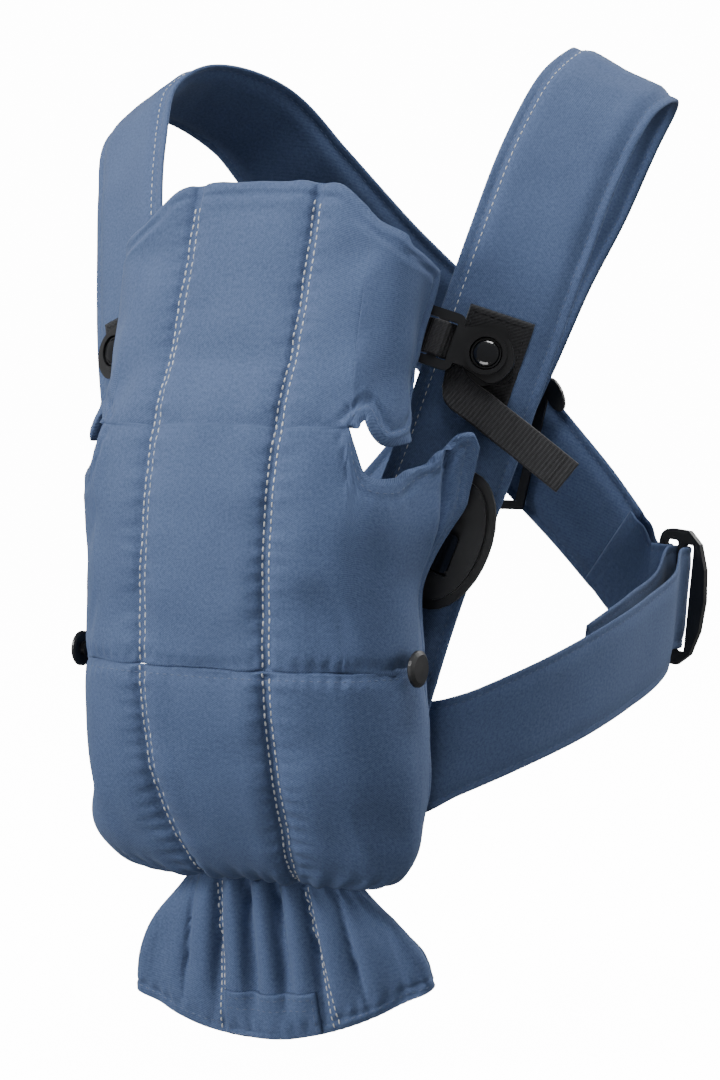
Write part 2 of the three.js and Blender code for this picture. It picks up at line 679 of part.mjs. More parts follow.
// Everything else comes in pairs: the left one as drawn, the right one mirrored in X.
for (const side of ["left", "right"]) {
  const half = new THREE.Group();
  half.scale.x = side === "left" ? 1 : -1;

  const ring = new THREE.Group();
  const basis = new THREE.Matrix4().makeBasis(RING_OUT, RING_UP, RING_BACK.clone().negate());
  ring.quaternion.setFromRotationMatrix(basis);
  ring.position.copy(RING_CENTRE);
  ring.add(named(`d_ring_${side}`, PLASTIC, dRing()));

  const patch = onStrap(side, CLIP_AT, GAP);
  patch.add(named(`clip_patch_${side}`, BLACK_CLOTH, clipPatch()));

  const stud = onStrap(side, CLIP_AT, BASE_UNDER);
  stud.add(
    named(`clip_base_${side}`, PLASTIC, clipBase()),
    named(`clip_button_${side}`, GLOSS, clipButton()),
  );

  const clip = onStrap(side, CLIP_AT, PLATE_UNDER);
  clip.add(
    named(`head_clip_${side}`, PLASTIC, clipPlate()),
    named(`clip_webbing_${side}`, BLACK_CLOTH, clipWebbing(side)),
  );

  const clasp = onStrap(side, CLASP_AT, CLASP.lift);
  clasp.translateX(CLASP.offset);
  clasp.add(
    named(`clasp_plate_${side}`, PLASTIC, claspPlate()),
    named(`clasp_latch_${side}`, GLOSS, claspLatch()),
    named(`clasp_hook_${side}`, PLASTIC, claspHook()),
  );

  const knob = named(`seat_knob_${side}`, PLASTIC, seatKnob());
  knob.rotation.y = Math.PI / 2;
  knob.position.copy(KNOB_AT);

  half.add(
    named(`shoulder_strap_${side}`, CLOTH, shoulderStrap(side)),
    named(`strap_loop_${side}`, CLOTH, strapLoop()),
    named(`waist_strap_${side}`, CLOTH, waistStrap()),
    ring,
    patch,
    stud,
    clip,
    clasp,
    knob,
  );
  carrier.add(half);
}

export default carrier;
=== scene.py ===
"""Looks of the soft baby carrier: sewn and padded cloth, ribbed webbing and moulded plastic."""

import math

import bpy
import numpy as np
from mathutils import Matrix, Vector, noise


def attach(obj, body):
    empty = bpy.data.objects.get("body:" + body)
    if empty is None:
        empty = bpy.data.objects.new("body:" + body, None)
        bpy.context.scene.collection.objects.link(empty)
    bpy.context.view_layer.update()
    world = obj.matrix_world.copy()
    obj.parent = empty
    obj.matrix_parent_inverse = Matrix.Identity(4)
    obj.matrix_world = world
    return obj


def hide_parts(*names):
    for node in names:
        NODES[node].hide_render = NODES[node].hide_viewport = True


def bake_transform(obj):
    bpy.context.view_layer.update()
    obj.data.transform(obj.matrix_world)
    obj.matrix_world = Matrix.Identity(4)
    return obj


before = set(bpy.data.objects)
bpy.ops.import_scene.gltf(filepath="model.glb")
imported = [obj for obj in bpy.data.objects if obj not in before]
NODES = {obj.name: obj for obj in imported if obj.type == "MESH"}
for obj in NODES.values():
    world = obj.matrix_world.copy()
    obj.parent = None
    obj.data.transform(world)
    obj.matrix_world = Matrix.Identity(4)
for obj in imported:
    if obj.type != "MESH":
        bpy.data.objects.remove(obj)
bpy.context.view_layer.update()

MM = 0.001

# ---- Numbers shared with the frame, in millimetres ---------------------------------------------

STRAP_WIDTH, STRAP_THICK, LAYER_SHIFT, STRAP_SPREAD = 62, 6.4, 6.6, 10
WAIST_WIDTH, WAIST_THICK, LOOP_THICK = 56, 2.4, 1.6
PAD_BACK, PAD_THICK, PAD_HALF, PAD_TOP, PAD_BOTTOM = -92, 10, 72, -292, -388
HEAD_FOLD, WAIST_SEAM, POUCH_BOTTOM, HEM = -178.5, -296, -410, -494
PANEL_THICK = 5
RING_BAR, RING_INNER = 4, 8
CLIP_PLATE, WEB_WIDTH, WEB_THICK = 3, 18, 1.5

POUCH = [  # height, front y, half width, y of the widest place, x and y of the rear edge
    (-410, -141, 56, -130, 50, -114),
    (-407, -149, 74, -134, 66, -116),
    (-398, -159, 86, -137, 78, -118),
    (-380, -171, 92, -139, 86, -120),
    (-345, -187, 95, -142, 91, -120),
    (-296, -195, 93, -140, 89, -122),
    (-262, -195, 92, -138, 87, -121),
    (-215, -191, 94, -136, 106, -112),
    (-178, -183, 93, -134, 114, -110),
]
HEAD = [
    (-190, -186, 90, -140, 70, -122),
    (-178, -182, 90, -140, 74, -116),
    (-145, -168, 87, -136, 78.5, -110),
    (-100, -152, 85, -130, 84, -98),
    (-58, -139, 80, -122, 82, -95),
]
SKIRT = [
    (-494, -118, 87, -106, 80, -88),
    (-470, -124, 83, -110, 77, -94),
    (-440, -131, 71, -116, 65, -102),
    (-410.4, -139, 50, -124, 46, -114),
]
HEAD_LOW = [
    (0, -178.1), (0.365, -178.1), (0.39, -174), (0.44, -171.5), (0.47, -175), (0.52, -184), (0.58, -185.7),
    (0.68, -184), (0.8, -176), (0.9, -164), (1, -146),
]
PANEL_TOP = [
    (0, -178.9), (0.365, -178.9), (0.385, -190), (0.42, -201), (0.48, -205), (0.56, -205.5), (0.66, -199),
    (0.8, -190), (0.88, -183), (0.94, -182.5), (1, -190),
]
HEAD_TOP = [(0, -58), (0.2, -60), (0.33, -70), (0.42, -79), (0.62, -88), (0.8, -95), (1, -103)]
FRONT_SHARE = 0.7
FOLD_REACH = 0.365

# ---- Curves and surfaces -----------------------------------------------------------------------


def curve(table, x):
    """A smooth curve through rows of (x, value) that doesn't overshoot them."""
    xs, ys = np.array(table, float).T
    h = np.diff(xs)
    d = np.diff(ys) / h
    m = np.zeros_like(ys)
    m[0], m[-1] = d[0], d[-1]
    for i in range(1, len(xs) - 1):
        if d[i - 1] * d[i] > 0:
            w1, w2 = 2 * h[i] + h[i - 1], h[i] + 2 * h[i - 1]
            m[i] = (w1 + w2) / (w1 / d[i - 1] + w2 / d[i])
    x = np.clip(x, xs[0], xs[-1])
    k = np.clip(np.searchsorted(xs, x, side="right") - 1, 0, len(xs) - 2)
    t = (x - xs[k]) / h[k]
    near = (1 + 2 * t) * (1 - t) ** 2 * ys[k] + t * (1 - t) ** 2 * h[k] * m[k]
    return near + t * t * (3 - 2 * t) * ys[k + 1] + t * t * (t - 1) * h[k] * m[k + 1]


def smooth(a, b, x):
    t = np.clip((x - a) / (b - a), 0, 1)
    return t * t * (3 - 2 * t)


def bump(x, middle, width):
    return np.exp(-(((x - middle) / width) ** 2))


def rounded(distance, radius):
    """A quarter-round rise from 0 at an edge to 1 at the given distance from it."""
    return np.sqrt(np.clip(1 - (1 - np.minimum(distance, radius) / radius) ** 2, 0, 1))


def section(rows, u, z):
    """The point of a U-shaped section at u, -1 to 1 round the front, and height z."""
    front, half, wide, rear_x, rear_y = (curve([(r[0], r[i]) for r in rows], z) for i in range(1, 6))
    reach = np.abs(u)
    angle = np.minimum(reach / FRONT_SHARE, 1) * math.pi / 2
    t = np.clip((reach - FRONT_SHARE) / (1 - FRONT_SHARE), 0, 1)
    x = half * np.sin(angle) ** 0.8 + (rear_x - half) * t
    y = wide + (front - wide) * np.clip(np.cos(angle), 0, 1) ** 0.8 + (rear_y - wide) * t
    return np.stack([np.sign(u) * x, y, z], -1)


def share_at(x, half):
    """The u at which the rounded front of a section is x from the middle."""
    return FRONT_SHARE * np.arcsin(np.clip(x / half, 0, 1) ** 1.25) / (math.pi / 2)


def catmull(points, t):
    """Points on the centripetal curve through the stops, at the given shares of its spans."""
    p = np.array(points, float)
    p = np.vstack([2 * p[0] - p[1], p, 2 * p[-1] - p[-2]])
    spans = len(p) - 3
    s = np.clip(t, 0, 1) * spans
    k = np.minimum(s.astype(int), spans - 1)
    w = (s - k)[:, None]
    a, b, c, d = p[k], p[k + 1], p[k + 2], p[k + 3]

    def gap(m, n):
        return np.linalg.norm(n - m, axis=1)[:, None] ** 0.5

    d0, d1, d2 = gap(a, b), gap(b, c), gap(c, d)
    d1 = np.where(d1 < 1e-4, 1, d1)
    d0 = np.where(d0 < 1e-4, d1, d0)
    d2 = np.where(d2 < 1e-4, d1, d2)
    t1 = ((b - a) / d0 - (c - a) / (d0 + d1) + (c - b) / d1) * d1
    t2 = ((c - b) / d1 - (d - b) / (d1 + d2) + (d - c) / d2) * d1
    return b + t1 * w + (-3 * b + 3 * c - 2 * t1 - t2) * w**2 + (2 * b - 2 * c + t1 + t2) * w**3


def heading(points, t):
    """Direction of travel along the curve through the stops, of any length."""
    return catmull(points, np.minimum(t + 1e-3, 1)) - catmull(points, np.maximum(t - 1e-3, 0))


def unit(v):
    return v / np.maximum(np.linalg.norm(v, axis=-1, keepdims=True), 1e-9)


def normals(grid):
    """Outward normals of a grid of points whose columns run along u and rows up."""
    return unit(np.cross(np.gradient(grid, axis=1), np.gradient(grid, axis=0)))


def distances(points):
    """Distances along a line of points."""
    return np.concatenate([[0], np.cumsum(np.linalg.norm(np.diff(points, axis=0), axis=1))])


def index_at(value, levels):
    """The fractional place of a value in a rising list."""
    return np.interp(value, levels, np.arange(len(levels)))


def wrinkle(grid, size, seed):
    """Smooth noise from -1 to 1 at each point of a grid."""
    flat = grid.reshape(-1, 3) / size + seed
    return np.array([noise.noise(Vector(p)) for p in flat]).reshape(grid.shape[:-1])


# ---- Materials ---------------------------------------------------------------------------------


class Nodes:
    """A short way to wire a material's nodes."""

    def __init__(self, name):
        self.material = bpy.data.materials.new(name)
        self.material.use_nodes = True
        self.tree = self.material.node_tree
        self.shader = self.tree.nodes["Principled BSDF"]

    def add(self, kind, inputs=None, **settings):
        node = self.tree.nodes.new(kind)
        for key, value in settings.items():
            setattr(node, key, value)
        for key, value in (inputs or {}).items():
            if isinstance(value, bpy.types.NodeSocket):
                self.tree.links.new(value, node.inputs[key])
            else:
                node.inputs[key].default_value = value
        return node

    def math(self, operation, a, b=0.0):
        return self.add("ShaderNodeMath", {0: a, 1: b}, operation=operation).outputs[0]

    def ramp(self, factor, stops):
        node = self.add("ShaderNodeValToRGB", {"Fac": factor})
        ramp = node.color_ramp
        while len(ramp.elements) < len(stops):
            ramp.elements.new(0.5)
        for element, (place, colour) in zip(ramp.elements, stops):
            element.position = place
            element.color = (*colour, 1)
        return node.outputs[0]

    def total(self, *weighted):
        """The sum of sockets, each times its weight."""
        terms = [self.math("MULTIPLY", socket, weight) for socket, weight in weighted]
        result = terms[0]
        for term in terms[1:]:
            result = self.math("ADD", result, term)
        return result

    def place(self):
        return self.add("ShaderNodeTexCoord").outputs["Object"]

    def weave(self):
        return self.add("ShaderNodeUVMap", uv_map="weave").outputs[0]

    def grain(self, place, scale, detail=2.0, **more):
        inputs = {"Vector": place, "Scale": scale, "Detail": detail, **more}
        return self.add("ShaderNodeTexNoise", inputs).outputs[0]

    def raised(self, height, strength, distance, **more):
        """The normal that a height gives, with its distance in metres."""
        inputs = {"Height": height, "Strength": strength, "Distance": distance, **more}
        return self.add("ShaderNodeBump", inputs).outputs[0]

    def put(self, values):
        """Gives the shader's inputs their values or links."""
        for socket, value in values.items():
            if isinstance(value, bpy.types.NodeSocket):
                self.tree.links.new(value, self.shader.inputs[socket])
            else:
                self.shader.inputs[socket].default_value = value


def cloth_material(name, dark, light, pitch):
    """Fine twill: diagonal ridges of the given pitch in metres, crossed by thread noise."""
    n = Nodes(name)
    uv, place = n.weave(), n.place()
    turned = n.add("ShaderNodeMapping", {"Vector": uv, "Rotation": (0, 0, TWILL_ANGLE)}).outputs[0]
    ridges = {"Vector": turned, "Scale": WAVE_PITCH / pitch, "Distortion": 0.6}
    ridges.update({"Detail": 1.0, "Detail Scale": 1.5})
    twill = n.add("ShaderNodeTexWave", ridges, wave_type="BANDS").outputs["Fac"]
    threads = n.grain(uv, 1400.0)
    mottle = n.grain(place, 26.0, 4.0)
    broad = n.grain(place, 7.0)
    melange = n.grain(uv, 640.0, 3.0, Roughness=0.7)
    mixed = n.total((twill, 0.22), (threads, 0.36), (melange, 0.7), (mottle, 0.2), (broad, 0.14))
    height = n.math("ADD", twill, n.math("ADD", n.math("MULTIPLY", threads, 0.7), melange))
    weave = n.raised(height, 0.25, 0.0002)
    n.put({
        "Base Color": n.ramp(mixed, [(0.57, dark), (1.0, light)]),
        "Normal": n.raised(mottle, 0.25, 0.002, Normal=weave),
        "Roughness": 0.78,
        "Specular IOR Level": 0.3,
        "Sheen Weight": 0.14,
        "Sheen Roughness": 0.45,
        "Sheen Tint": (0.75, 0.85, 1, 1),
    })
    return n.material


def thread_material(name, dark, light):
    n = Nodes(name)
    strands = n.grain(n.place(), 2600.0, 1.0)
    colour = n.ramp(strands, [(0.3, dark), (0.7, light)])
    n.put({"Base Color": colour, "Normal": n.raised(strands, 0.4, 0.0002), "Roughness": 0.6})
    return n.material


def plastic_material(name, base, rough, grain, coat=0.0):
    """Moulded plastic with a fine grain, a little lighter and rougher in broad patches."""
    n = Nodes(name)
    place = n.place()
    spark = n.grain(place, 1800.0)
    patch = n.grain(place, 55.0, 3.0)
    lighter = tuple(c * 1.35 for c in base)
    n.put({
        "Base Color": n.ramp(patch, [(0.35, base), (0.7, lighter)]),
        "Roughness": n.math("ADD", n.math("MULTIPLY", patch, 0.12), rough - 0.06),
        "Normal": n.raised(spark, grain, 0.0001),
        "Coat Weight": coat,
        "Coat Roughness": 0.12,
    })
    return n.material


def webbing_material(dark, light):
    """Grosgrain: its ribs come from the mesh, its threads from the nodes."""
    n = Nodes("webbing")
    uv = n.weave()
    warp = {"Vector": uv, "Scale": 420.0, "Distortion": 1.0}
    threads = n.add("ShaderNodeTexWave", warp, bands_direction="X").outputs["Fac"]
    height = n.math("ADD", threads, n.grain(uv, 900.0))
    n.put({
        "Base Color": n.ramp(n.math("MULTIPLY", height, 0.5), [(0.25, dark), (0.8, light)]),
        "Normal": n.raised(height, 0.5, 0.0002),
        "Roughness": 0.72,
        "Sheen Weight": 0.15,
    })
    return n.material


TWILL_ANGLE = math.radians(55)
WAVE_PITCH = 0.314  # a wave texture's scale times the pitch of its bands
CLOTH = cloth_material("cloth", (0.046, 0.075, 0.16), (0.106, 0.158, 0.296), 0.0008)
LINING = cloth_material("lining", (0.04, 0.064, 0.13), (0.066, 0.1, 0.185), 0.0009)
CREAM = thread_material("cream_thread", (0.5, 0.51, 0.52), (0.82, 0.83, 0.84))
TONAL = thread_material("tonal_thread", (0.07, 0.1, 0.19), (0.14, 0.185, 0.31))
PLASTIC = plastic_material("plastic", (0.012, 0.0125, 0.014), 0.42, 0.25)
GLOSS = plastic_material("gloss", (0.01, 0.011, 0.014), 0.16, 0.05, 0.6)
WEBBING = webbing_material((0.008, 0.008, 0.01), (0.035, 0.036, 0.04))
PATCH = cloth_material("patch", (0.006, 0.006, 0.007), (0.03, 0.03, 0.033), 0.0016)

THREADS = [CLOTH, CREAM, TONAL]
CREAM_SLOT, TONAL_SLOT = 1, 2

# ---- Meshes ------------------------------------------------------------------------------------


def linked(name, data):
    """A new object in the scene."""
    piece = bpy.data.objects.new(name, data)
    bpy.context.scene.collection.objects.link(piece)
    return piece


class Sewn:
    """A mesh in the making: points in millimetres, faces with their material, and weave places."""

    def __init__(self):
        self.points, self.faces, self.slots, self.weave, self.flat = [], [], [], [], []

    def add(self, points, faces, slot=0, weave=None):
        first = sum(len(p) for p in self.points)
        self.points.append(np.asarray(points, float))
        self.weave.append(np.zeros((len(points), 2)) if weave is None else np.asarray(weave, float))
        self.faces += [tuple(first + i for i in f) for f in faces]
        self.slots += [slot] * len(faces)

    def build(self, name, materials):
        mesh = bpy.data.meshes.new(name)
        points = np.concatenate(self.points)
        weave = np.concatenate(self.weave)
        mesh.from_pydata((points * MM).tolist(), [], self.faces)
        layer = mesh.uv_layers.new(name="weave")
        index = np.zeros(len(mesh.loops), np.int32)
        mesh.loops.foreach_get("vertex_index", index)
        layer.data.foreach_set("uv", (weave[index] * MM).astype(np.float32).ravel())
        for material in materials:
            mesh.materials.append(material)
        mesh.polygons.foreach_set("material_index", np.array(self.slots, np.int32))
        rounded = np.ones(len(mesh.polygons), bool)
        rounded[self.flat] = False
        mesh.polygons.foreach_set("use_smooth", rounded)
        mesh.validate()
        mesh.update()
        return linked(name, mesh)


def border_of(shape):
    """True on the border of a grid."""
    border = np.zeros(shape, bool)
    border[[0, -1], :] = True
    border[:, [0, -1]] = True
    return border


def closed_grid(outer, inner):
    """Points and faces of a flat bag: two grids of the same size that share their border points."""
    rows, columns = outer.shape[:2]
    border = border_of((rows, columns))
    front = np.arange(rows * columns).reshape(rows, columns)
    back = front.copy()
    back[~border] = rows * columns + np.arange((~border).sum())
    middle = (outer + inner) / 2
    points = np.concatenate([np.where(border[..., None], middle, outer).reshape(-1, 3), inner[~border]])
    faces = []
    for i in range(rows - 1):
        for j in range(columns - 1):
            faces.append((front[i, j], front[i, j + 1], front[i + 1, j + 1], front[i + 1, j]))
            faces.append((back[i, j], back[i + 1, j], back[i + 1, j + 1], back[i, j + 1]))
    return points, faces


def weave_of(grid):
    """Flat places of a grid's points, in millimetres, from its mean row and column lengths."""
    across = np.mean([distances(row) for row in grid], axis=0)
    up = np.mean([distances(grid[:, j]) for j in range(grid.shape[1])], axis=0)
    return np.stack(np.meshgrid(across, up), -1)


def stitches(sewn, line, out, slot, length, gap, width, height, sink=0.15, start=0.0):
    """Raised stitches along a line of points; out holds the surface's outward direction there."""
    line, out = np.asarray(line, float), np.asarray(out, float)
    travel = distances(line)
    sides, rings = 6, ((0.0, 0.25), (0.18, 0.85), (0.5, 1.0), (0.82, 0.85), (1.0, 0.25))
    at = start + gap / 2
    while at + length <= travel[-1]:
        s = np.array([at + length * r[0] for r in rings])
        centre = np.stack([np.interp(s, travel, line[:, k]) for k in range(3)], -1)
        up = unit(np.stack([np.interp(s, travel, out[:, k]) for k in range(3)], -1))
        forward = unit(np.gradient(centre, axis=0))
        across = unit(np.cross(up, forward))
        points, faces = [], []
        for k, (_, share) in enumerate(rings):
            for a in np.linspace(0, 2 * math.pi, sides, endpoint=False):
                points.append(
                    centre[k]
                    + across[k] * math.cos(a) * width / 2 * share
                    + up[k] * (math.sin(a) * height * share * 0.5 + height * 0.5 * share - sink)
                )
        last = (len(rings) - 1) * sides
        for k in range(len(rings) - 1):
            for j in range(sides):
                n = (j + 1) % sides
                faces.append((k * sides + j, k * sides + n, (k + 1) * sides + n, (k + 1) * sides + j))
        faces.append(tuple(reversed(range(sides))))
        faces.append(tuple(range(last, last + sides)))
        sewn.add(points, faces, slot)
        at += length + gap


COARSE = {"length": 2.8, "gap": 1.2, "width": 0.95, "height": 0.6, "sink": 0.2}
FINE = {"length": 2.6, "gap": 1.5, "width": 0.55, "height": 0.3}


def seam(sewn, grid, facing, cut=slice(None), row=None, column=None, slot=TONAL_SLOT, **style):
    """Stitches along a fractional row or column of a grid, over a slice of its points."""
    if row is None:
        grid, facing, row = grid.swapaxes(0, 1), facing.swapaxes(0, 1), column
    i = min(int(row), len(grid) - 2)
    w = row - i
    line, up = (g[i] * (1 - w) + g[i + 1] * w for g in (grid, facing))
    stitches(sewn, line[cut], up[cut], slot, **(style or FINE))


# ---- Straps ------------------------------------------------------------------------------------


def strap_stops(layer, spread):
    step = layer * LAYER_SHIFT
    sewn_y = PAD_BACK - PAD_THICK - STRAP_THICK / 2 - 1.2
    rows = [
        (-79, 112, -256.2, -0.35, 0.93, 0.05),
        (-54, 115 + step * 0.5, -232, -0.2, 0.97, 0.08),
        (-25, 112 + step, -203, -0.05, 0.99, 0.1),
        (0, 107 + step, -174, 0.05, 0.99, 0.13),
        (19, 103 + step, -142, 0.1, 0.96, 0.2),
        (52 + spread, 88 + step * 0.5 - spread, -90, 0.4, 0.8, 0.45),
        (84 + spread * 0.6, 66 - spread, -50, 0.5, 0.68, 0.53),
        (112, 36 - spread * 0.2, -17, 0.5, 0.45, 0.74),
        (134, 0, -STRAP_THICK / 2, 0.46, 0, 0.88),
        (132 + spread, -28, -15, 0.46, -0.4, 0.8),
        (124 + spread, -51, -48, 0.45, -0.72, 0.53),
        (114 + spread, -68, -92, 0.42, -0.84, 0.34),
        (101 + spread, -84, -146, 0.38, -0.87, 0.3),
        (86 + spread * 0.8, -96, -200, 0.3, -0.95, 0.12),
        (68 + spread * 0.4, -104, -252, 0.15, -0.99, 0.03),
        (54, sewn_y, -300, 0, -1, 0),
        (44, sewn_y, -338, 0, -1, 0),
    ]
    rows = np.array(rows, float)
    return rows[:, :3], rows[:, 3:]


FLIP = np.array([-1, 1, 1])


def mirror(side, *arrays):
    return arrays if side == "left" else tuple(a * FLIP for a in arrays)


def strap_frames(layer, spread, at):
    """Centre, direction across (away from the neck), outward direction and run of a strap drawn
    on the wearer's left."""
    stops, outs = strap_stops(layer, spread)
    t = np.asarray(at, float)
    centre = catmull(stops, t)
    run = unit(heading(stops, t))
    out = catmull(outs, t)
    out = unit(out - run * np.sum(out * run, -1, keepdims=True))
    return centre, np.cross(out, run), out, run


def edge_columns(width, near, step):
    """Places across a band: the distances in near at both edges, and even steps between them."""
    inside = np.linspace(near[-1], width - near[-1], max(int((width - 2 * near[-1]) / step), 2) + 1)[1:-1]
    return np.concatenate([near, inside, width - np.array(near)[::-1]]) - width / 2


def ribbon(sewn, centre, across, out, place, profile, lift=None):
    """A sewn band along a route; profile gives its thickness at each distance from its edge."""
    half = place.max()
    middle = centre[:, None] + across[:, None] * place[None, :, None]
    if lift is not None:
        middle = middle + out[:, None] * lift[..., None]
    ends = np.minimum(np.arange(len(centre)), np.arange(len(centre))[::-1])
    rise = profile(half - np.abs(place))[None, :] * np.minimum(ends / 2, 1)[:, None] ** 0.5
    outer = middle + out[:, None] * (rise / 2)[..., None]
    inner = middle - out[:, None] * (rise / 2)[..., None]
    points, faces = closed_grid(outer, inner)
    run = np.gradient(centre, axis=0)
    if np.sum(np.cross(across[1], run[1]) * out[1]) < 0:
        faces = [tuple(reversed(f)) for f in faces]
    flat = np.stack(np.meshgrid(place, distances(centre)), -1)
    sewn.add(points, faces, 0, np.concatenate([flat.reshape(-1, 2), flat[~border_of(outer.shape[:2])]]))
    return outer, inner


def padded_profile(full, hem=2.2, stitch=4.6):
    """Thin sewn edge with a stitched dip, then the padding."""

    def thickness(d):
        dip = 1 - 0.28 * bump(d, stitch, 1.0)
        crown = (full - hem) * smooth(stitch - 0.3, stitch + 7.0, d)
        return hem * rounded(d, 1.3) * dip + crown

    return thickness


def web_profile(full):
    def thickness(d):
        return full * rounded(d, full * 0.7)

    return thickness


def faces_of(outer, inner):
    """Outward directions of a band's outer face."""
    return unit(outer - inner + 1e-9)


def edge_seams(sewn, outer, inner, place, inset, **style):
    """Tonal stitch rows on both faces of a band, at a distance in from each edge."""
    facing = faces_of(outer, inner)
    for sign in (-1, 1):
        column = index_at(sign * (place.max() - inset), place)
        for grid, up in ((outer, facing), (inner, -facing)):
            seam(sewn, grid, up, slice(2, -2), column=column, **style)


STRAP_EDGE = [0, 0.35, 0.9, 1.7, 2.6, 3.5, 4.4, 5.3, 6.6, 8.5, 11]
WEB_EDGE = [0, 0.3, 0.8, 1.5, 2.4, 3.4, 4.2, 5, 6, 7.5]


def finish_piece(sewn, name, node, body, materials=THREADS):
    piece = sewn.build(name, materials)
    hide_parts(*([node] if isinstance(node, str) else node))
    if body:
        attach(piece, body)
    return piece


def shoulder_strap(side):
    sewn = Sewn()
    count = 300
    layer, spread = (-1, 0) if side == "left" else (1, STRAP_SPREAD)
    centre, across, out, run = mirror(side, *strap_frames(layer, spread, np.linspace(0, 1, count)))
    travel = distances(centre)
    half = STRAP_WIDTH / 2
    place = edge_columns(STRAP_WIDTH, STRAP_EDGE, 3.6)
    inside = half - np.abs(place)
    middle = centre[:, None] + across[:, None] * place[None, :, None]
    lift = 0.6 * wrinkle(middle, 26, 3.1) + 0.3 * wrinkle(middle, 11, 8.7)
    bend = np.linalg.norm(np.gradient(run, travel, axis=0), axis=1)
    tight = smooth(0.010, 0.028, np.convolve(bend, np.ones(15) / 15, "same"))
    folds = np.sin(travel[:, None] / 3.1 + 0.05 * place[None, :]) * tight[:, None] * 0.45
    lift = (lift + folds * smooth(6, 16, inside)) * smooth(0, 4, inside)
    outer, inner = ribbon(sewn, centre, across, out, place, padded_profile(STRAP_THICK + 0.6), lift)
    edge_seams(sewn, outer, inner, place, 4.6, length=2.6, gap=1.5, width=0.55, height=0.3)
    cream = {"slot": CREAM_SLOT, "length": 2.5, "gap": 1.5, "width": 0.6, "height": 0.5}
    seen = slice(int(count * 0.3), int(count * 0.94))
    seam(sewn, outer, faces_of(outer, inner), seen, column=index_at(7.2 - half, place), **cream)
    piece = finish_piece(sewn, f"padded_strap_{side}", f"shoulder_strap_{side}", "harness")


RING_CENTRE = np.array([117.0, 108, -279])
RING_UP = unit(np.array([0.1, 0, 1.0]))
RING_OUT = unit(np.array([1, -0.12, -0.1]))
RING_BACK = unit(np.cross(RING_UP, RING_OUT))
INNER_BAR = -(RING_BAR / 2 + RING_INNER + RING_BAR / 2)


def ring_point(out, back, up=0):
    return RING_CENTRE + RING_OUT * out + RING_BACK * back + RING_UP * up


def band_frames(rows, count):
    """The frames of a band turned along rows of a point and its direction across."""
    rows = np.array(rows, float)
    t = np.linspace(0, 1, count)
    centre = catmull(rows[:, :3], t)
    across = unit(catmull(rows[:, 3:], t))
    return centre, across, unit(np.cross(unit(heading(rows[:, :3], t)), across))


def waist_strap(side):
    turn = RING_BAR / 2 + WAIST_THICK / 2 + 1
    edge, mid = PAD_HALF + 0.4, PAD_BACK - PAD_THICK / 2
    rows = [
        (edge, mid, -346, 0, 0, 1),
        (edge + 7, mid + 1, -344, 0.1, 0, 1),
        (92, mid + 10, -338, 0.2, 0, 1),
        (112, -58, -326, 0.18, 0, 1),
        (125, -18, -314, 0.12, 0, 1),
        (130, 28, -302, 0.1, 0, 1),
        (129, 72, -290, 0.1, 0, 1),
    ]
    turns = [(turn + 1, -10), (turn, 0), (turn * 0.7, turn * 0.8), (0, turn + 0.6)]
    turns += [(-turn * 0.7, turn * 0.8), (-turn, 0), (-turn + 1.5, -12)]
    rows += [(*ring_point(*pair), *RING_UP) for pair in turns]
    rows += [(118, 72, -290, 0.1, 0, 1), (121, 28, -300, 0.1, 0, 1), (117.5, -14, -312, 0.12, 0, 1)]
    centre, across, out = mirror(side, *band_frames(rows, 260))
    place = edge_columns(WAIST_WIDTH, WEB_EDGE, 2.4)
    inside = WAIST_WIDTH / 2 - np.abs(place)
    middle = centre[:, None] + across[:, None] * place[None, :, None]
    lift = 0.3 * wrinkle(middle, 20, 5.5) * smooth(0, 12, inside)
    sewn = Sewn()
    profile = padded_profile(WAIST_THICK + 0.2, 1.5, 4.2)
    outer, inner = ribbon(sewn, centre, across, out, place, profile, lift)
    edge_seams(sewn, outer, inner, place, 4.2, length=2.8, gap=1.5, width=0.55, height=0.3)
    finish_piece(sewn, f"waist_belt_{side}", f"waist_strap_{side}", "harness")


def strap_loop(side):
    """Sewn on the end of the other shoulder strap, round the ring's inner bar."""
    layer, spread = (1, STRAP_SPREAD) if side == "left" else (-1, 0)
    centre, across, out, run = (a[0] * FLIP for a in strap_frames(layer, spread, [0.0]))
    centre, across = centre - run * 2.8, -across
    ply, turn = 3.9, RING_BAR / 2 + LOOP_THICK / 2 + 1.7
    lap = centre + run * 9
    rows = [(*(lap + out * ply), *across), (*(centre + out * ply * 0.9), *across)]
    rows.append((*ring_point(INNER_BAR - 6, turn * 0.75), *RING_UP))
    turns = [(INNER_BAR, turn), (INNER_BAR + turn * 0.75, turn * 0.75), (INNER_BAR + turn, 0)]
    turns += [(INNER_BAR + turn * 0.75, -turn * 0.75), (INNER_BAR, -turn), (INNER_BAR - 6, -turn * 0.75)]
    rows += [(*ring_point(*pair), *RING_UP) for pair in turns]
    rows += [(*(centre - out * ply * 0.9), *across), (*(lap - out * ply), *across)]
    frames = mirror(side, *band_frames(rows, 90))
    place = edge_columns(WAIST_WIDTH, WEB_EDGE, 2.4)
    sewn = Sewn()
    outer, inner = ribbon(sewn, *frames, place, padded_profile(LOOP_THICK + 0.1, 1.3, 4.2))
    edge_seams(sewn, outer, inner, place, 4.2, length=2.8, gap=1.5, width=0.5, height=0.25)
    for row in (8, 14):
        seam(sewn, outer, faces_of(outer, inner), row=row, length=2.6, gap=1.2, width=0.6, height=0.4)
    finish_piece(sewn, f"ring_loop_{side}", f"strap_loop_{side}", "harness")


# ---- Padded panels ------------------------------------------------------------------------------

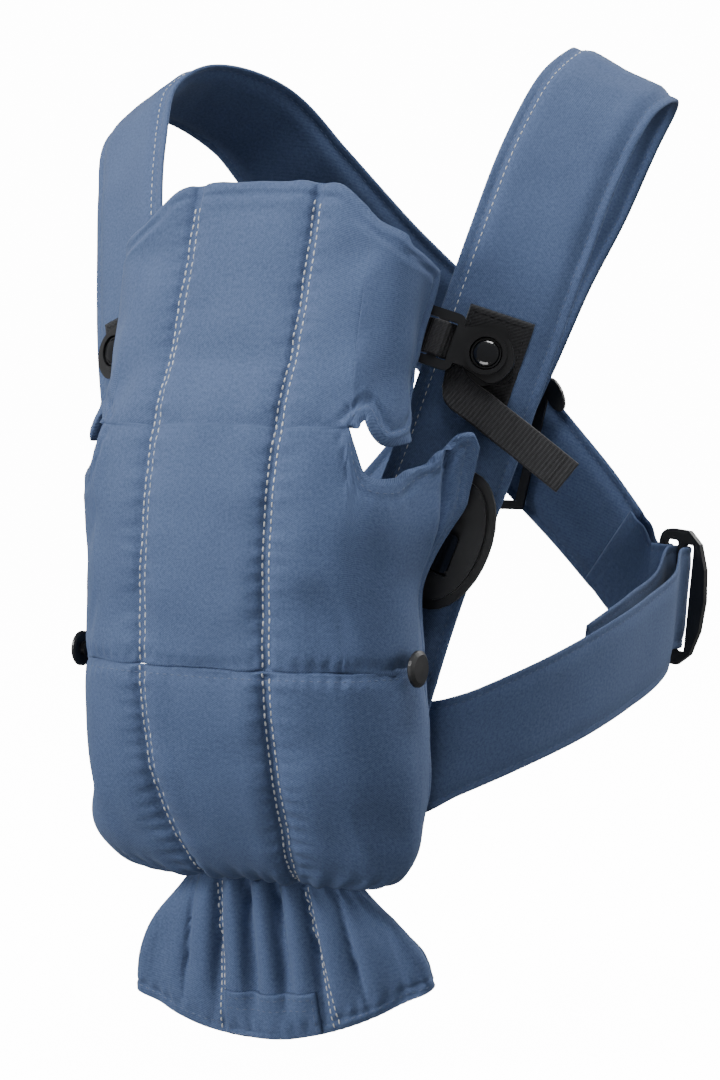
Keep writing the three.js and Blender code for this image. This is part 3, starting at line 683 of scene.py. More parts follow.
SEAM_S, FOLD_S = 0.3, 0.56
HALF_COLUMNS = [0.0, 0.06, 0.12, 0.17, 0.215, 0.25, 0.272, 0.286, 0.294, 0.3, 0.306, 0.314, 0.328]
HALF_COLUMNS += [0.35, 0.385, 0.42, 0.455, 0.49, 0.52, 0.54, 0.552, 0.56, 0.568, 0.578, 0.59, 0.605]
HALF_COLUMNS += [0.625, 0.65, 0.68, 0.71, 0.74, 0.77, 0.8, 0.83, 0.86, 0.885, 0.91, 0.93, 0.948]
HALF_COLUMNS += [0.963, 0.975, 0.985, 0.993, 0.998, 1.0]
COLUMNS = np.concatenate([-np.array(HALF_COLUMNS[:0:-1]), HALF_COLUMNS])
MID = len(HALF_COLUMNS) - 1
SEAM_COLUMNS = [MID - HALF_COLUMNS.index(SEAM_S), MID + HALF_COLUMNS.index(SEAM_S)]
JOINED = np.abs(COLUMNS) <= FOLD_S + 1e-9
JOINED_ENDS = (int(np.argmax(JOINED)), int(len(JOINED) - 1 - np.argmax(JOINED[::-1])))
EDGE_ROWS = [0, 0.006, 0.014, 0.025, 0.04, 0.06]
FINER = 3  # cells of the finished cloth for each cell of the simulated one
CALM_ROUNDS = 6
SEAM_THICK, SEAM_ROUND = 2.8, 1.4
PANEL_INSET = PANEL_THICK / 2 + 1.4  # from the sections' surface to the middle of the cloth
HEM_SHARE = 0.945
SWELL_FRAMES = 20


def row_shares(count):
    """Row shares from 0 to 1, closer together near both ends."""
    ends = np.array(EDGE_ROWS)
    return np.concatenate([ends, np.linspace(0.09, 0.91, count), 1 - ends[::-1]])


def seam_place(z):
    """How far from the middle the stitched channels of the front run at height z."""
    return curve([(-410, 27), (-398, 29), (-370, 34), (-340, 36), (-60, 35)], z)


def reach_of(share, seam_u):
    """The section's u for a column share, so that one column follows the stitched channel."""
    s = np.abs(share)
    within = seam_u * (s / SEAM_S) ** 1.25
    between = seam_u + (FOLD_REACH - seam_u) * (s - SEAM_S) / (FOLD_S - SEAM_S)
    beyond = FOLD_REACH + (1 - FOLD_REACH) * (s - FOLD_S) / (1 - FOLD_S)
    return np.sign(share) * np.where(s <= SEAM_S, within, np.where(s <= FOLD_S, between, beyond))


def panel_grid(rows, height, shares):
    """Outer points of a panel; height(reach, v) gives z at each column's reach and row's share."""
    share, v = np.meshgrid(COLUMNS, shares)
    u = share * 0.5
    for _ in range(4):
        z = height(np.abs(u), v)
        u = reach_of(share, share_at(seam_place(z), curve([(r[0], r[2]) for r in rows], z)))
    z = height(np.abs(u), v)
    return section(rows, u, z), u


def relax(grid, rounds):
    """Evens out small kinks of a grid, its border fixed."""
    grid = grid.copy()
    for _ in range(rounds):
        mean = (grid[2:, 1:-1] + grid[:-2, 1:-1] + grid[1:-1, 2:] + grid[1:-1, :-2]) / 4
        grid[1:-1, 1:-1] += (mean - grid[1:-1, 1:-1]) * 0.5
    return grid


def evened(grid, rounds):
    """Evens out small kinks of a surface along its normals, its border fixed."""
    facing = normals(grid)
    move = relax(grid, rounds) - grid
    return grid + facing * np.sum(move * facing, -1, keepdims=True)


def apart(grid, line):
    """Distance of each point of a grid from the nearest point of a line."""
    flat = grid.reshape(-1, 3)
    nearest = np.full(len(flat), 1e9)
    for start in range(0, len(line), 40):
        gap = np.linalg.norm(flat[:, None] - line[None, start : start + 40], axis=2)
        nearest = np.minimum(nearest, gap.min(axis=1))
    return nearest.reshape(grid.shape[:-1])


def hem_thickness(distance, full, hem=5.4, stitch=7.0):
    """A rolled hem along a free edge, a stitched dip beside it, then the panel's own padding."""
    roll = hem * rounded(distance, hem * 0.62) * (1 - 0.52 * bump(distance, stitch, 1.6))
    return roll + (full - hem) * smooth(stitch, stitch + 9, distance)


def seam_thickness(distance, full):
    """A panel's thickness beside the seam that joins it to its neighbour."""
    padding = (full - SEAM_THICK) * smooth(SEAM_ROUND, 9.0, distance)
    return SEAM_THICK * rounded(distance, SEAM_ROUND) + padding


def channel(share):
    """1 on the two stitched channels of the front and 0 away from them."""
    s = np.abs(share)
    return np.clip(bump(s, SEAM_S, 0.02) + 0.4 * bump(s, SEAM_S, 0.06), 0, 1)


def layered(outer, thick, inset, facing=None):
    """Outer and inner layers, their middle inset below the given surface, with weave places."""
    facing = normals(outer) if facing is None else facing
    middle = outer - facing * inset
    flat = weave_of(outer)
    half = facing * (thick / 2)[..., None]
    return np.concatenate([middle + half, flat], -1), np.concatenate([middle - half, flat], -1)


def sewn_layers(parts, joined=None):
    """Points, faces and index maps of pairs of layers, sewn together along their free borders. The
    second pair's first row is the first pair's last row where joined."""
    points, faces, maps, count = [], [], [], 0
    for number, (outer, inner) in enumerate(parts):
        rows, columns = outer.shape[:2]
        closed = border_of((rows, columns))
        if joined is not None:
            corner = joined & ~(np.roll(joined, 1) & np.roll(joined, -1))
            closed[-1 if number == 0 else 0] = ~joined | corner
        front = np.arange(rows * columns).reshape(rows, columns) + count
        points.append(np.where(closed[..., None], (outer + inner) / 2, outer).reshape(rows * columns, -1))
        back = front.copy()
        back[~closed] = count + rows * columns + np.arange((~closed).sum())
        points.append(inner[~closed])
        count += rows * columns + (~closed).sum()
        if number == 1:
            front[0, joined] = maps[0][0][-1, joined]
            back[0, joined] = maps[0][1][-1, joined]
        for grid, turn in ((front, 1), (back, -1)):
            quads = np.stack([grid[:-1, :-1], grid[:-1, 1:], grid[1:, 1:], grid[1:, :-1]], -1)
            faces.append(quads.reshape(-1, 4)[:, ::turn])
        maps.append((front, back))
    faces = np.concatenate(faces)
    used = np.unique(faces)
    place = np.zeros(count, int)
    place[used] = np.arange(len(used))
    maps = [(place[front], place[back]) for front, back in maps]
    return np.concatenate(points)[used], place[faces], maps


def sewn_part(part, turn=1):
    """One pair of layers as a mesh in the making; a turn of -1 reverses its faces."""
    points, faces, _ = sewn_layers([part])
    sewn = Sewn()
    sewn.add(points[:, :3], faces[:, ::turn].tolist(), 0, points[:, 3:])
    return sewn


def refine(grid, factor=FINER):
    """A grid with factor times as many cells each way, on smooth curves through its points."""
    for axis in (0, 1):
        p = np.moveaxis(grid, axis, 0)
        last = len(p) - 1
        t = np.linspace(0, last, last * factor + 1)
        k = np.minimum(t.astype(int), last - 1)
        w = (t - k)[:, None, None]
        a, b, c, d = p[np.maximum(k - 1, 0)], p[k], p[k + 1], p[np.minimum(k + 2, last)]
        bend = (2 * a - 5 * b + 4 * c - d) * w**2 + (3 * b - a - 3 * c + d) * w**3
        grid = np.moveaxis(0.5 * (2 * b + (c - a) * w + bend), 0, axis)
    return grid


PADDED_CLOTH = {
    "quality": 5,
    "mass": 0.25,
    "tension_stiffness": 14,
    "compression_stiffness": 14,
    "shear_stiffness": 6,
    "bending_stiffness": 0.6,
    "use_pressure": True,
    "vertex_group_mass": "pins",
    "shrink_min": -0.02,
}


def puff(points, faces, pins, cap, pressure):
    """Swells a closed mesh between its pinned points by cloth simulation; points in millimetres."""
    sewn = Sewn()
    sewn.add(points, faces.tolist())
    piece = sewn.build("swelling", [CLOTH])
    group = piece.vertex_groups.new(name="pins")
    for index in np.nonzero(pins > 0)[0]:
        group.add([int(index)], float(pins[index]), "REPLACE")
    cloth = piece.modifiers.new("swell", "CLOTH")
    for key, value in PADDED_CLOTH.items():
        setattr(cloth.settings, key, value)
    cloth.settings.uniform_pressure_force = pressure
    cloth.settings.effector_weights.gravity = 0
    cloth.collision_settings.use_collision = False
    cloth.collision_settings.use_self_collision = False
    cloth.point_cache.frame_start, cloth.point_cache.frame_end = 1, SWELL_FRAMES
    scene = bpy.context.scene
    for frame_number in range(1, SWELL_FRAMES + 1):
        scene.frame_set(frame_number)
    evaluated = piece.evaluated_get(bpy.context.evaluated_depsgraph_get())
    after = np.zeros(len(points) * 3, np.float32)
    evaluated.data.vertices.foreach_get("co", after)
    piece.modifiers.remove(cloth)
    bpy.data.objects.remove(piece)
    scene.frame_set(1)
    move = after.reshape(-1, 3) / MM - points
    length = np.linalg.norm(move, axis=1, keepdims=True)
    return points + move / np.maximum(length, 1e-9) * (cap * np.tanh(length / cap))


def quilted(parts, pins, joined=None, cap=3.2, pressure=4.0, calm=5):
    """Swells sewn layers between their pinned seams and returns them with finer cells."""
    points, faces, maps = sewn_layers(parts, joined)
    held = np.zeros(len(points))
    for (front, back), weights in zip(maps, pins):
        for index in (front, back):
            np.maximum.at(held, index.ravel(), np.broadcast_to(weights, index.shape).ravel())
    move = puff(points[:, :3], faces, held, cap, pressure) - points[:, :3]
    finer = []
    for layer in (0, 1):
        tall = np.concatenate([move[maps[0][layer]]] + [move[m[layer]][1:] for m in maps[1:]])
        tall = relax(tall, calm)
        first = 0
        for m in maps:
            grid = points[m[layer]].copy()
            grid[..., :3] += tall[first : first + len(grid)]
            first += len(grid) - 1
            finer.append(refine(grid))
    half = len(maps)
    return [(finer[k], finer[k + half]) for k in range(half)]


def border_pins(shape, columns=(), inside=0.6):
    """Pin weights: 1 on a grid's border and on the named columns, less on the points beside it."""
    pins = np.zeros(shape)
    pins[[1, -2]] = pins[:, [1, -2]] = inside
    pins[[0, -1]] = pins[:, [0, -1]] = 1
    pins[:, list(columns)] = 1
    return pins


def dented(part, dents):
    """A pair of layers with the outer one moved along its normals, in millimetres."""
    outer, inner = part[0].copy(), part[1]
    outer[..., :3] += normals(outer[..., :3]) * dents[..., None]
    return outer, inner


def fine(values):
    return np.interp(np.arange((len(values) - 1) * FINER + 1) / FINER, np.arange(len(values)), values)


def sampled(grid, directions, columns):
    """Points of a grid along a line that crosses its rows at the given fractional columns."""
    columns = np.clip(columns, 0, grid.shape[1] - 1.001)
    low = np.floor(columns).astype(int)
    w = (np.array(columns) - low)[:, None]
    rows = np.arange(len(grid))
    line = grid[rows, low] * (1 - w) + grid[rows, low + 1] * w
    return line, directions[rows, low] * (1 - w) + directions[rows, low + 1] * w


def rows_of_stitches(sewn, grid, facing, middle, cut, offset=1.7):
    """Two rows of cream stitches on a grid, one on each side of a fractional column per row."""
    middle = np.broadcast_to(middle, (len(grid),))
    for sign in (-1, 1):
        columns = []
        for row, column in zip(grid, middle):
            travel = distances(row)
            at = np.interp(column, np.arange(len(row)), travel)
            columns.append(index_at(at + sign * offset, travel))
        line, up = sampled(grid, facing, columns)
        stitches(sewn, line[cut], up[cut], CREAM_SLOT, start=1.0 + 0.6 * sign, **COARSE)


def quilting(share):
    """How far the cloth stands out beside the two stitched channels and sinks along them."""
    beside = bump(share, SEAM_S - 0.1, 0.06) + bump(share, SEAM_S + 0.1, 0.06)
    return 0.8 * beside - 1.5 * bump(share, SEAM_S, 0.028)


def pucker(grid, along, period, size, seed):
    """Small waves along a seam, from -1 to 1, of an uneven period."""
    return np.sin(2 * math.pi * along / period + 3 * wrinkle(grid, size, seed))


def beside_channels(share, width):
    """1 just inside and outside the stitched channels and 0 away from them."""
    return bump(share, SEAM_S - 0.04, width) + bump(share, SEAM_S + 0.04, width)


def fading():
    """1 where the panel and the head support are one cloth, fading out round the arm holes."""
    return 1 - smooth(FOLD_S, FOLD_S + 0.22, np.abs(COLUMNS))


SHARES = fine(COLUMNS)
SEAM_AT = [c * FINER for c in SEAM_COLUMNS]


def eased_fold(grid, spread=9.0, reach=34.0):
    """Rounds the bend between the panel and the head support where they are one cloth, and by a
    fading amount round the arm holes."""
    start = grid.copy()
    grid = grid.copy()
    fade = fading()
    for j in range(len(COLUMNS)):
        source = min(max(j, JOINED_ENDS[0]), JOINED_ENDS[1])
        z = grid[:, source, 2]
        level = np.linspace(z[0], z[-1], 400)
        kernel = bump(np.arange(-60, 61) * (level[1] - level[0]), 0, spread * 1.6)
        weight = bump(grid[:, j, 2], HEAD_FOLD, reach) * fade[j]
        for k in (0, 1):
            plain = np.interp(level, z, start[:, source, k])
            eased = np.convolve(np.pad(plain, 60, "edge"), kernel / kernel.sum(), "valid")
            grid[:, j, k] += np.interp(grid[:, j, 2], level, eased - plain) * weight
    return grid


def ease_right_wing(grid):
    """Rounds the wearer's right wing outwards at the front and tucks its rear corner in."""
    x, z = grid[..., 0], grid[..., 2]
    reach = np.abs(COLUMNS)[None] * (x < 0)
    swell = 4.5 * bump(reach, 0.66, 0.15) * bump(z, -196, 20)
    tuck = 9 * smooth(0.78, 1, reach) * smooth(-262, -200, z)
    grid[..., 0] += tuck - 0.87 * swell
    grid[..., 1] -= 0.5 * swell


def divided(faces, layers, cuts):
    """Faces of the middle of the front and of both sides of the head support beyond two columns,
    each with the wall that closes it along the cut."""
    front, back = layers
    middle, walls, sides = np.ones(len(faces), bool), [], []
    for cut, columns, turn in ((cuts[0], slice(0, cuts[0] + 1), -1), (cuts[1], slice(cuts[1], None), 1)):
        beyond = np.concatenate([front[:, columns].ravel(), back[:, columns].ravel()])
        chosen = np.isin(faces, beyond).all(axis=1)
        middle &= ~chosen
        wall = np.stack([front[:-1, cut], front[1:, cut], back[1:, cut], back[:-1, cut]], -1)[:, ::turn]
        sides.append((faces[chosen], wall))
        walls.append(wall[:, ::-1])
    return (faces[middle], np.concatenate(walls)), *sides


def portion(points, faces, walls):
    """A sewn mesh of some faces of a larger one, with sharp edges round its walls."""
    used = np.unique(faces)
    place = np.zeros(len(points), int)
    place[used] = np.arange(len(used))
    sewn = Sewn()
    closing = [tuple(dict.fromkeys(f)) for f in place[walls].tolist()]
    sewn.add(points[used, :3], place[faces].tolist() + closing, 0, points[used, 3:])
    sewn.flat = list(range(len(faces), len(faces) + len(closing)))
    return sewn


def front_grids(low_rows, high_rows):
    """Outer points of the upper panel and of the head support, one surface where they are joined,
    and its outward directions along the fold."""

    def upper_height(reach, v):
        return WAIST_SEAM + (curve(PANEL_TOP, reach) - WAIST_SEAM) * v

    def head_height(reach, v):
        low = curve(HEAD_LOW, reach)
        return low + (curve(HEAD_TOP, reach) - low) * v

    upper, _ = panel_grid(POUCH, upper_height, low_rows)
    head, _ = panel_grid(HEAD, head_height, high_rows)
    joint = (upper[-1] + head[0]) / 2
    nearest = np.clip(np.arange(len(COLUMNS)), *JOINED_ENDS)
    for grid, row in ((upper, -1), (head, 0)):
        shift = (joint - grid[row])[nearest]
        pull = bump(grid[..., 2] - grid[row, nearest, 2][None], 0, 24) * fading()[None]
        grid += shift[None] * pull[..., None]
    upper, head = evened(upper, CALM_ROUNDS), evened(head, CALM_ROUNDS)
    for grid in (upper, head):
        ease_right_wing(grid)
    hole_top = head[0, ~JOINED].copy()
    fold = len(upper) - 1
    whole = eased_fold(np.concatenate([upper, head[1:]]))
    upper, head = whole[: fold + 1].copy(), whole[fold:].copy()
    head[0, ~JOINED] = hole_top
    return upper, head, normals(whole)[fold]


def front_layers(upper, head, fold_facing, free):
    """Layers of the upper panel and the head support with their pin weights; free is true at the
    columns where the arm holes part them."""
    low_edge = np.concatenate([upper[:, 0], upper[:, -1], upper[-1, free]])
    high_edge = np.concatenate([head[:, 0], head[:, -1], head[0, free], head[-1]])
    parts, pins = [], []
    for grid, edge, row, beside in ((upper, low_edge, -1, -2), (head, high_edge, 0, 1)):
        facing = normals(grid)
        facing[row, JOINED] = fold_facing[JOINED]
        thick = hem_thickness(apart(grid, edge), 4.4)
        if grid is upper:
            thick = np.minimum(thick, seam_thickness(apart(grid, grid[0]), 4.4))
        thick = thick * (1 - 0.45 * channel(COLUMNS))[None]
        parts.append(layered(grid, thick, PANEL_INSET, facing))
        weights = border_pins(grid.shape[:2], SEAM_COLUMNS)
        weights[row, JOINED] = weights[beside, JOINED] = 0
        weights[:, SEAM_COLUMNS] = 1
        pins.append(weights)
    for layer in (0, 1):
        low, high = parts[0][layer], parts[1][layer]
        high[..., 4] += low[-1, :, 4].mean()
        low[-1, JOINED] = high[0, JOINED] = ((low[-1] + high[0]) / 2)[JOINED]
    return parts, pins


def front_dents(grid, holes, bottom_half):
    """Creases, pleats and quilting of the upper panel or the head support, in millimetres."""
    share = np.abs(SHARES)[None]
    x, z = np.abs(grid[..., 0]), grid[..., 2]
    up = np.mean([distances(grid[:, j]) for j in SEAM_AT], axis=0)[:, None]
    around = distances(grid[len(grid) // 2])[None]
    hole = apart(grid, refine(holes[None].repeat(2, 0), 1)[0])
    from_edge = np.minimum(apart(grid, grid[:, 0]), apart(grid, grid[:, -1]))
    calm = smooth(3, 12, from_edge)
    side = smooth(FOLD_S, FOLD_S + 0.1, share)
    dents = 1.1 * wrinkle(grid, 52, 4.4) * calm + 0.45 * wrinkle(grid, 21, 9.1) * calm
    dents += 0.3 * beside_channels(share, 0.03) * pucker(grid, up, 9.0, 30, 6.1) + quilting(share)
    dents += 0.3 * bump(hole, 11, 4) * pucker(grid, around, 8.5, 22, 7.7) * side
    if bottom_half:
        crease = bump(share, 0.885, 0.02) * smooth(-272, -236, z)
        pleat = bump(share, 0.82, 0.045) * smooth(-266, -215, z)
        dents += 2.8 * pleat - 4.8 * crease
        dents += 0.35 * bump(up, 5, 3.5) * pucker(grid, around, 7.5, 26, 3.3)
        dents += 0.9 * side * np.sin((z + 0.75 * x) / 9.5) * bump(z, -222, 24) * calm
    else:
        dents += 0.8 * side * np.sin((z - 0.5 * x) / 7.5) * bump(z, -158, 22) * calm
    return dents * smooth(0, 4, np.minimum(hole, from_edge))


def front_panel():
    """The pouch's upper panel and the head support, one cloth across the fold between them. The sides
    of the head support are pieces of their own, so that they keep their shape as it folds."""
    low_rows, high_rows = row_shares(24), row_shares(24)
    upper, head, fold_facing = front_grids(low_rows, high_rows)
    free = ~JOINED
    free[list(JOINED_ENDS)] = True
    holes = np.concatenate([upper[-1, free], head[0, free]])
    parts, pins = front_layers(upper, head, fold_facing, free)
    shaped = []
    for part, bottom_half in zip(quilted(parts, pins, JOINED), (True, False)):
        shaped.append(dented(part, front_dents(part[0][..., :3], holes, bottom_half)))
    cuts = tuple(FINER * end for end in JOINED_ENDS)
    joined = np.zeros(len(SHARES), bool)
    joined[cuts[0] : cuts[1] + 1] = True
    for low, high in zip(*shaped):
        low[-1, joined] = high[0, joined] = ((low[-1] + high[0]) / 2)[joined]
    points, faces, maps = sewn_layers(shaped, joined)
    sewn, right, left = (portion(points, *chosen) for chosen in divided(faces, maps[1], cuts))
    tall = np.concatenate([shaped[0][0][..., :3], shaped[1][0][1:, :, :3]])
    seen = slice(1, len(tall) - 1 - FINER * 5)
    for column in SEAM_AT:
        rows_of_stitches(sewn, tall, normals(tall), column, seen)
    for part, hem, pieces in ((shaped[0], 0.943, (sewn, sewn)), (shaped[1], 0.05, (right, left))):
        grid = part[0][..., :3]
        row = index_at(hem, low_rows) * FINER
        for piece, cut in zip(pieces, (slice(0, cuts[0]), slice(cuts[1], None))):
            seam(piece, grid, normals(grid), cut, row=row)
        for piece, sign in zip(pieces, (-1, 1)):
            seam(piece, grid, normals(grid), slice(6, -6), column=index_at(sign * HEM_SHARE, SHARES))
    piece = finish_piece(sewn, "front_panel", ["upper_panel", "head_flap"], None)
    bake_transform(piece)
    for side, sewn in (("left", left), ("right", right)):
        piece = finish_piece(sewn, f"head_side_{side}", "head_flap", "head_support")


def seat_dents(outer, share):
    """Gathers, puckers and quilting of the seat panel, in millimetres."""
    up = np.mean([distances(outer[:, j]) for j in SEAM_AT], axis=0)[:, None]
    down = up[-1] - up
    around = distances(outer[len(outer) // 2])[None]
    ends = np.minimum(apart(outer, outer[:, 0]), apart(outer, outer[:, -1]))
    dents = 1.0 * wrinkle(outer, 48, 14.4) * smooth(3, 12, ends) + 0.4 * wrinkle(outer, 18, 2.9)
    dents += 0.35 * beside_channels(share, 0.035) * pucker(outer, up, 8.0, 30, 1.6) + 1.3 * quilting(share)
    dents += 0.35 * bump(down, 5, 3.5) * pucker(outer, around, 7.5, 26, 3.3)
    dents += 0.9 * bump(up, 9, 10) * pucker(outer, around, 13.0, 30, 8.3)
    return dents * smooth(0, 4, np.minimum(np.minimum(ends, down), up))


def lower_panel():
    rows = row_shares(26)

    def height(_, v):
        return POUCH_BOTTOM + (WAIST_SEAM - POUCH_BOTTOM) * v**1.6

    grid, u = panel_grid(POUCH, height, rows)
    grid[..., 2] += 10 * np.abs(u) ** 4 * (1 - rows[:, None]) ** 2
    grid = evened(grid, CALM_ROUNDS)
    grid[..., 0] -= 7 * smooth(0.3, 0.7, -COLUMNS)[None] * bump(grid[..., 2], -388, 22)
    thick = hem_thickness(apart(grid, np.concatenate([grid[:, 0], grid[:, -1]])), 4.6)
    for row in (-1, 0):
        thick = np.minimum(thick, seam_thickness(apart(grid, grid[row]), 4.6))
    part = layered(grid, thick * (1 - 0.45 * channel(COLUMNS))[None], PANEL_INSET)
    [part] = quilted([part], [border_pins(grid.shape[:2], SEAM_COLUMNS)], cap=4.2, pressure=5)
    part = dented(part, seat_dents(part[0][..., :3], np.abs(SHARES)[None]))
    sewn = sewn_part(part)
    outer = part[0][..., :3]
    facing = normals(outer)
    for column in SEAM_AT:
        rows_of_stitches(sewn, outer, facing, column, slice(6, -1))
    for sign in (-1, 1):
        seam(sewn, outer, facing, slice(6, -6), column=index_at(sign * HEM_SHARE, SHARES))
    seam(sewn, outer, facing, slice(4, -4), row=index_at(0.976, rows) * FINER)
    piece = finish_piece(sewn, "seat_panel", "lower_panel", None)
    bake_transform(piece)


# ---- Skirt, hem tab, bridge and belly pad --------------------------------------------------------


def skirt_section(u, v):
    return section(SKIRT, u, HEM + (POUCH_BOTTOM + 4 - HEM) * v)


def skirt_surface(u, v):
    point = skirt_section(u, v)
    rise = 14 * (point[..., 0] / 65) ** 2 + 6 * u**4 + 0.1 * point[..., 0]
    return point + np.stack([-4 * (1 - v), 0 * v, rise * (1 - v)], -1)


def gather_pitch(v):
    """Width of each of the three tubes between the stitched rows, wider towards the hem."""
    return 22.7 - 6 * v


def skirt_folds(u, v):
    """Rounded gathers that hang from the seam, strongest at the top and in the middle."""
    reach = np.abs(u)
    across = skirt_section(u, v)[..., 0]
    lobes = np.abs(np.cos(math.pi * across / gather_pitch(v))) ** 0.5
    middle = bump(u, 0, 0.3) * smooth(0.05, 0.45, v)
    broad = np.cos(2 * math.pi * reach / 0.62 + 0.5) * smooth(0.3, 0.6, reach) * smooth(1.0, 0.5, v)
    gathers = np.cos(math.pi * u / 0.055) * smooth(0.72, 1, v)
    return 10.0 * (lobes - 0.8) * middle + 4.5 * broad + 0.6 * gathers


def skirt():
    u, v = np.meshgrid(np.linspace(-1, 1, 141), row_shares(22))
    grid = skirt_surface(u, v)
    edge = np.concatenate([grid[0], grid[:, 0], grid[:, -1]])
    thick = hem_thickness(apart(grid, edge), 2.6, 3.2, 6.5)
    thick = np.minimum(thick, seam_thickness(apart(grid, grid[-1]), 2.6))
    raised = grid + normals(grid) * (skirt_folds(u, v) * smooth(0, 3, apart(grid, grid[-1])))[..., None]
    part = layered(raised, thick, 2.0)
    weights = border_pins(grid.shape[:2], inside=0.4)
    weights[:2] = 0.75
    [part] = quilted([part], [weights], cap=1.6, pressure=2.5)
    outer = part[0][..., :3]
    fine_u = np.linspace(-1, 1, outer.shape[1])
    hem = apart(outer, outer[0])
    around = distances(outer[len(outer) // 3])[None]
    dents = 0.5 * wrinkle(outer, 30, 5.1)
    dents += 0.4 * bump(hem, 8, 3.5) * pucker(outer, around, 9, 24, 4.9)
    part = dented(part, dents * smooth(0, 4, hem))
    sewn = sewn_part(part)
    outer = part[0][..., :3]
    facing = normals(outer)
    levels = np.interp(np.arange(outer.shape[0]) / FINER, np.arange(len(v)), v[:, 0])
    for tubes in (-1.5, -0.5, 0.5, 1.5):
        place = tubes * gather_pitch(levels)
        columns = [index_at(x, outer[i, :, 0]) for i, x in enumerate(place)]
        cut = slice(FINER * 3, -FINER * 4)
        if abs(tubes) > 1:
            rows_of_stitches(sewn, outer, facing, columns, cut)
        else:
            line, up = sampled(outer, facing, columns)
            stitches(sewn, line[cut], up[cut], TONAL_SLOT, **FINE)
    seam(sewn, outer, facing, slice(5, -5), row=index_at(0.075, levels))
    piece = finish_piece(sewn, "skirt_cloth", "skirt", "harness")
    return outer, facing, levels, fine_u


def hem_tab(surface):
    """The stitched band across the middle of the skirt that gathers its folds."""
    outer, facing, levels, fine_u = surface
    columns = np.nonzero(np.abs(fine_u) <= 0.118)[0]
    bottom, top = (int(index_at(level, levels)) for level in (0.02, 0.3))
    patch = outer[bottom : top + 1, columns]
    up = facing[bottom : top + 1, columns]
    edge = np.concatenate([patch[0], patch[-1], patch[:, 0], patch[:, -1]])
    thick = 1.5 * rounded(apart(patch, edge), 1.0)
    flat = weave_of(patch)
    base = patch + up * 0.7
    layers = [np.concatenate([base + up * (k * thick / 2)[..., None], flat], -1) for k in (1, -1)]
    sewn = sewn_part(tuple(layers))
    face = layers[0][..., :3]
    for row in (3, len(face) - 9, len(face) - 4):
        seam(sewn, face, up, slice(3, -3), row=float(row))
    for column in (3, face.shape[1] - 4):
        seam(sewn, face, up, slice(3, -3), column=float(column))
    finish_piece(sewn, "hem_band", "hem_tab", "harness")


def crotch_bridge():
    route = [(-131, -404), (-120, -405), (-108, -401), (-100, -391.5)]
    rows = [(0, y, z, 1, 0, 0) for y, z in route]
    place = edge_columns(84, STRAP_EDGE, 3.6)
    sewn = Sewn()
    outer, inner = ribbon(sewn, *band_frames(rows, 40), place, padded_profile(5.2))
    edge_seams(sewn, outer, inner, place, 4.6, **FINE)
    piece = finish_piece(sewn, "leg_bridge", "crotch_bridge", "harness", [LINING, CREAM, TONAL])


def belly_pad():
    top, bottom, corner = PAD_TOP, PAD_BOTTOM, 16
    middle = (top + bottom) / 2
    across, up = np.linspace(-1, 1, 61), np.linspace(0, math.pi, 45)
    s, v = np.meshgrid(np.sin(across * math.pi / 2), (1 - np.cos(up)) / 2)
    z = bottom + (top - bottom) * v
    past = np.clip(np.abs(z - middle) - ((top - bottom) / 2 - corner), 0, corner)
    half = PAD_HALF - corner + np.sqrt(corner**2 - past**2)
    grid = np.stack([s * half, np.full_like(s, PAD_BACK - PAD_THICK / 2), z], -1)
    border = np.concatenate([grid[0], grid[-1], grid[:, 0], grid[:, -1]])
    edge = apart(grid, border)
    thick = padded_profile(PAD_THICK, 3.0, 6.0)(edge)
    part = layered(grid, thick, 0.0)
    weights = border_pins(grid.shape[:2])
    weights[bump(edge, 6, 1.3) > 0.5] = 0.8
    [part] = quilted([part], [weights], cap=1.0, pressure=3)
    outer = part[0][..., :3]
    rim = apart(outer, border)
    dents = (0.5 * wrinkle(outer, 34, 1.1) + 0.25 * wrinkle(outer, 14, 4.1)) * smooth(1, 10, rim)
    part = dented(part, dents)
    sewn = sewn_part(part)
    for layer, sign in ((0, 1), (1, -1)):
        face = part[layer][..., :3]
        facing = normals(face) * sign
        n, m = face.shape[0] - 1, face.shape[1] - 1
        low = index_at(6.0, apart(face[: n // 2, m // 2][None], face[:1, m // 2])[0])
        near = index_at(6.0, apart(face[n // 2, : m // 2][None], face[n // 2, :1])[0])
        for row in (low, n - low):
            seam(sewn, face, facing, slice(int(near), m - int(near) + 1), row=row)
        for column in (near, m - near):
            seam(sewn, face, facing, slice(int(low), n - int(low) + 1), column=column)
    piece = finish_piece(sewn, "waist_pad", "belly_pad", "harness")


# ---- Hardware -------------------------------------------------------------------------------------


def on_strap(side, spans, height):
    """Origin and axes of the hardware on a strap: across away from the neck, up it, and out."""
    layer, spread = (-1, 0) if side == "left" else (1, STRAP_SPREAD)
    centre, across, out, run = (a[0] for a in strap_frames(layer, spread, [spans / 16]))
    origin = centre + out * (STRAP_THICK / 2 + height)
    return mirror(side, origin, across, -run, out)


def placed(frame_axes, points):
    origin, x, y, z = frame_axes
    points = np.asarray(points, float)
    return origin + points[..., :1] * x + points[..., 1:2] * y + points[..., 2:3] * z


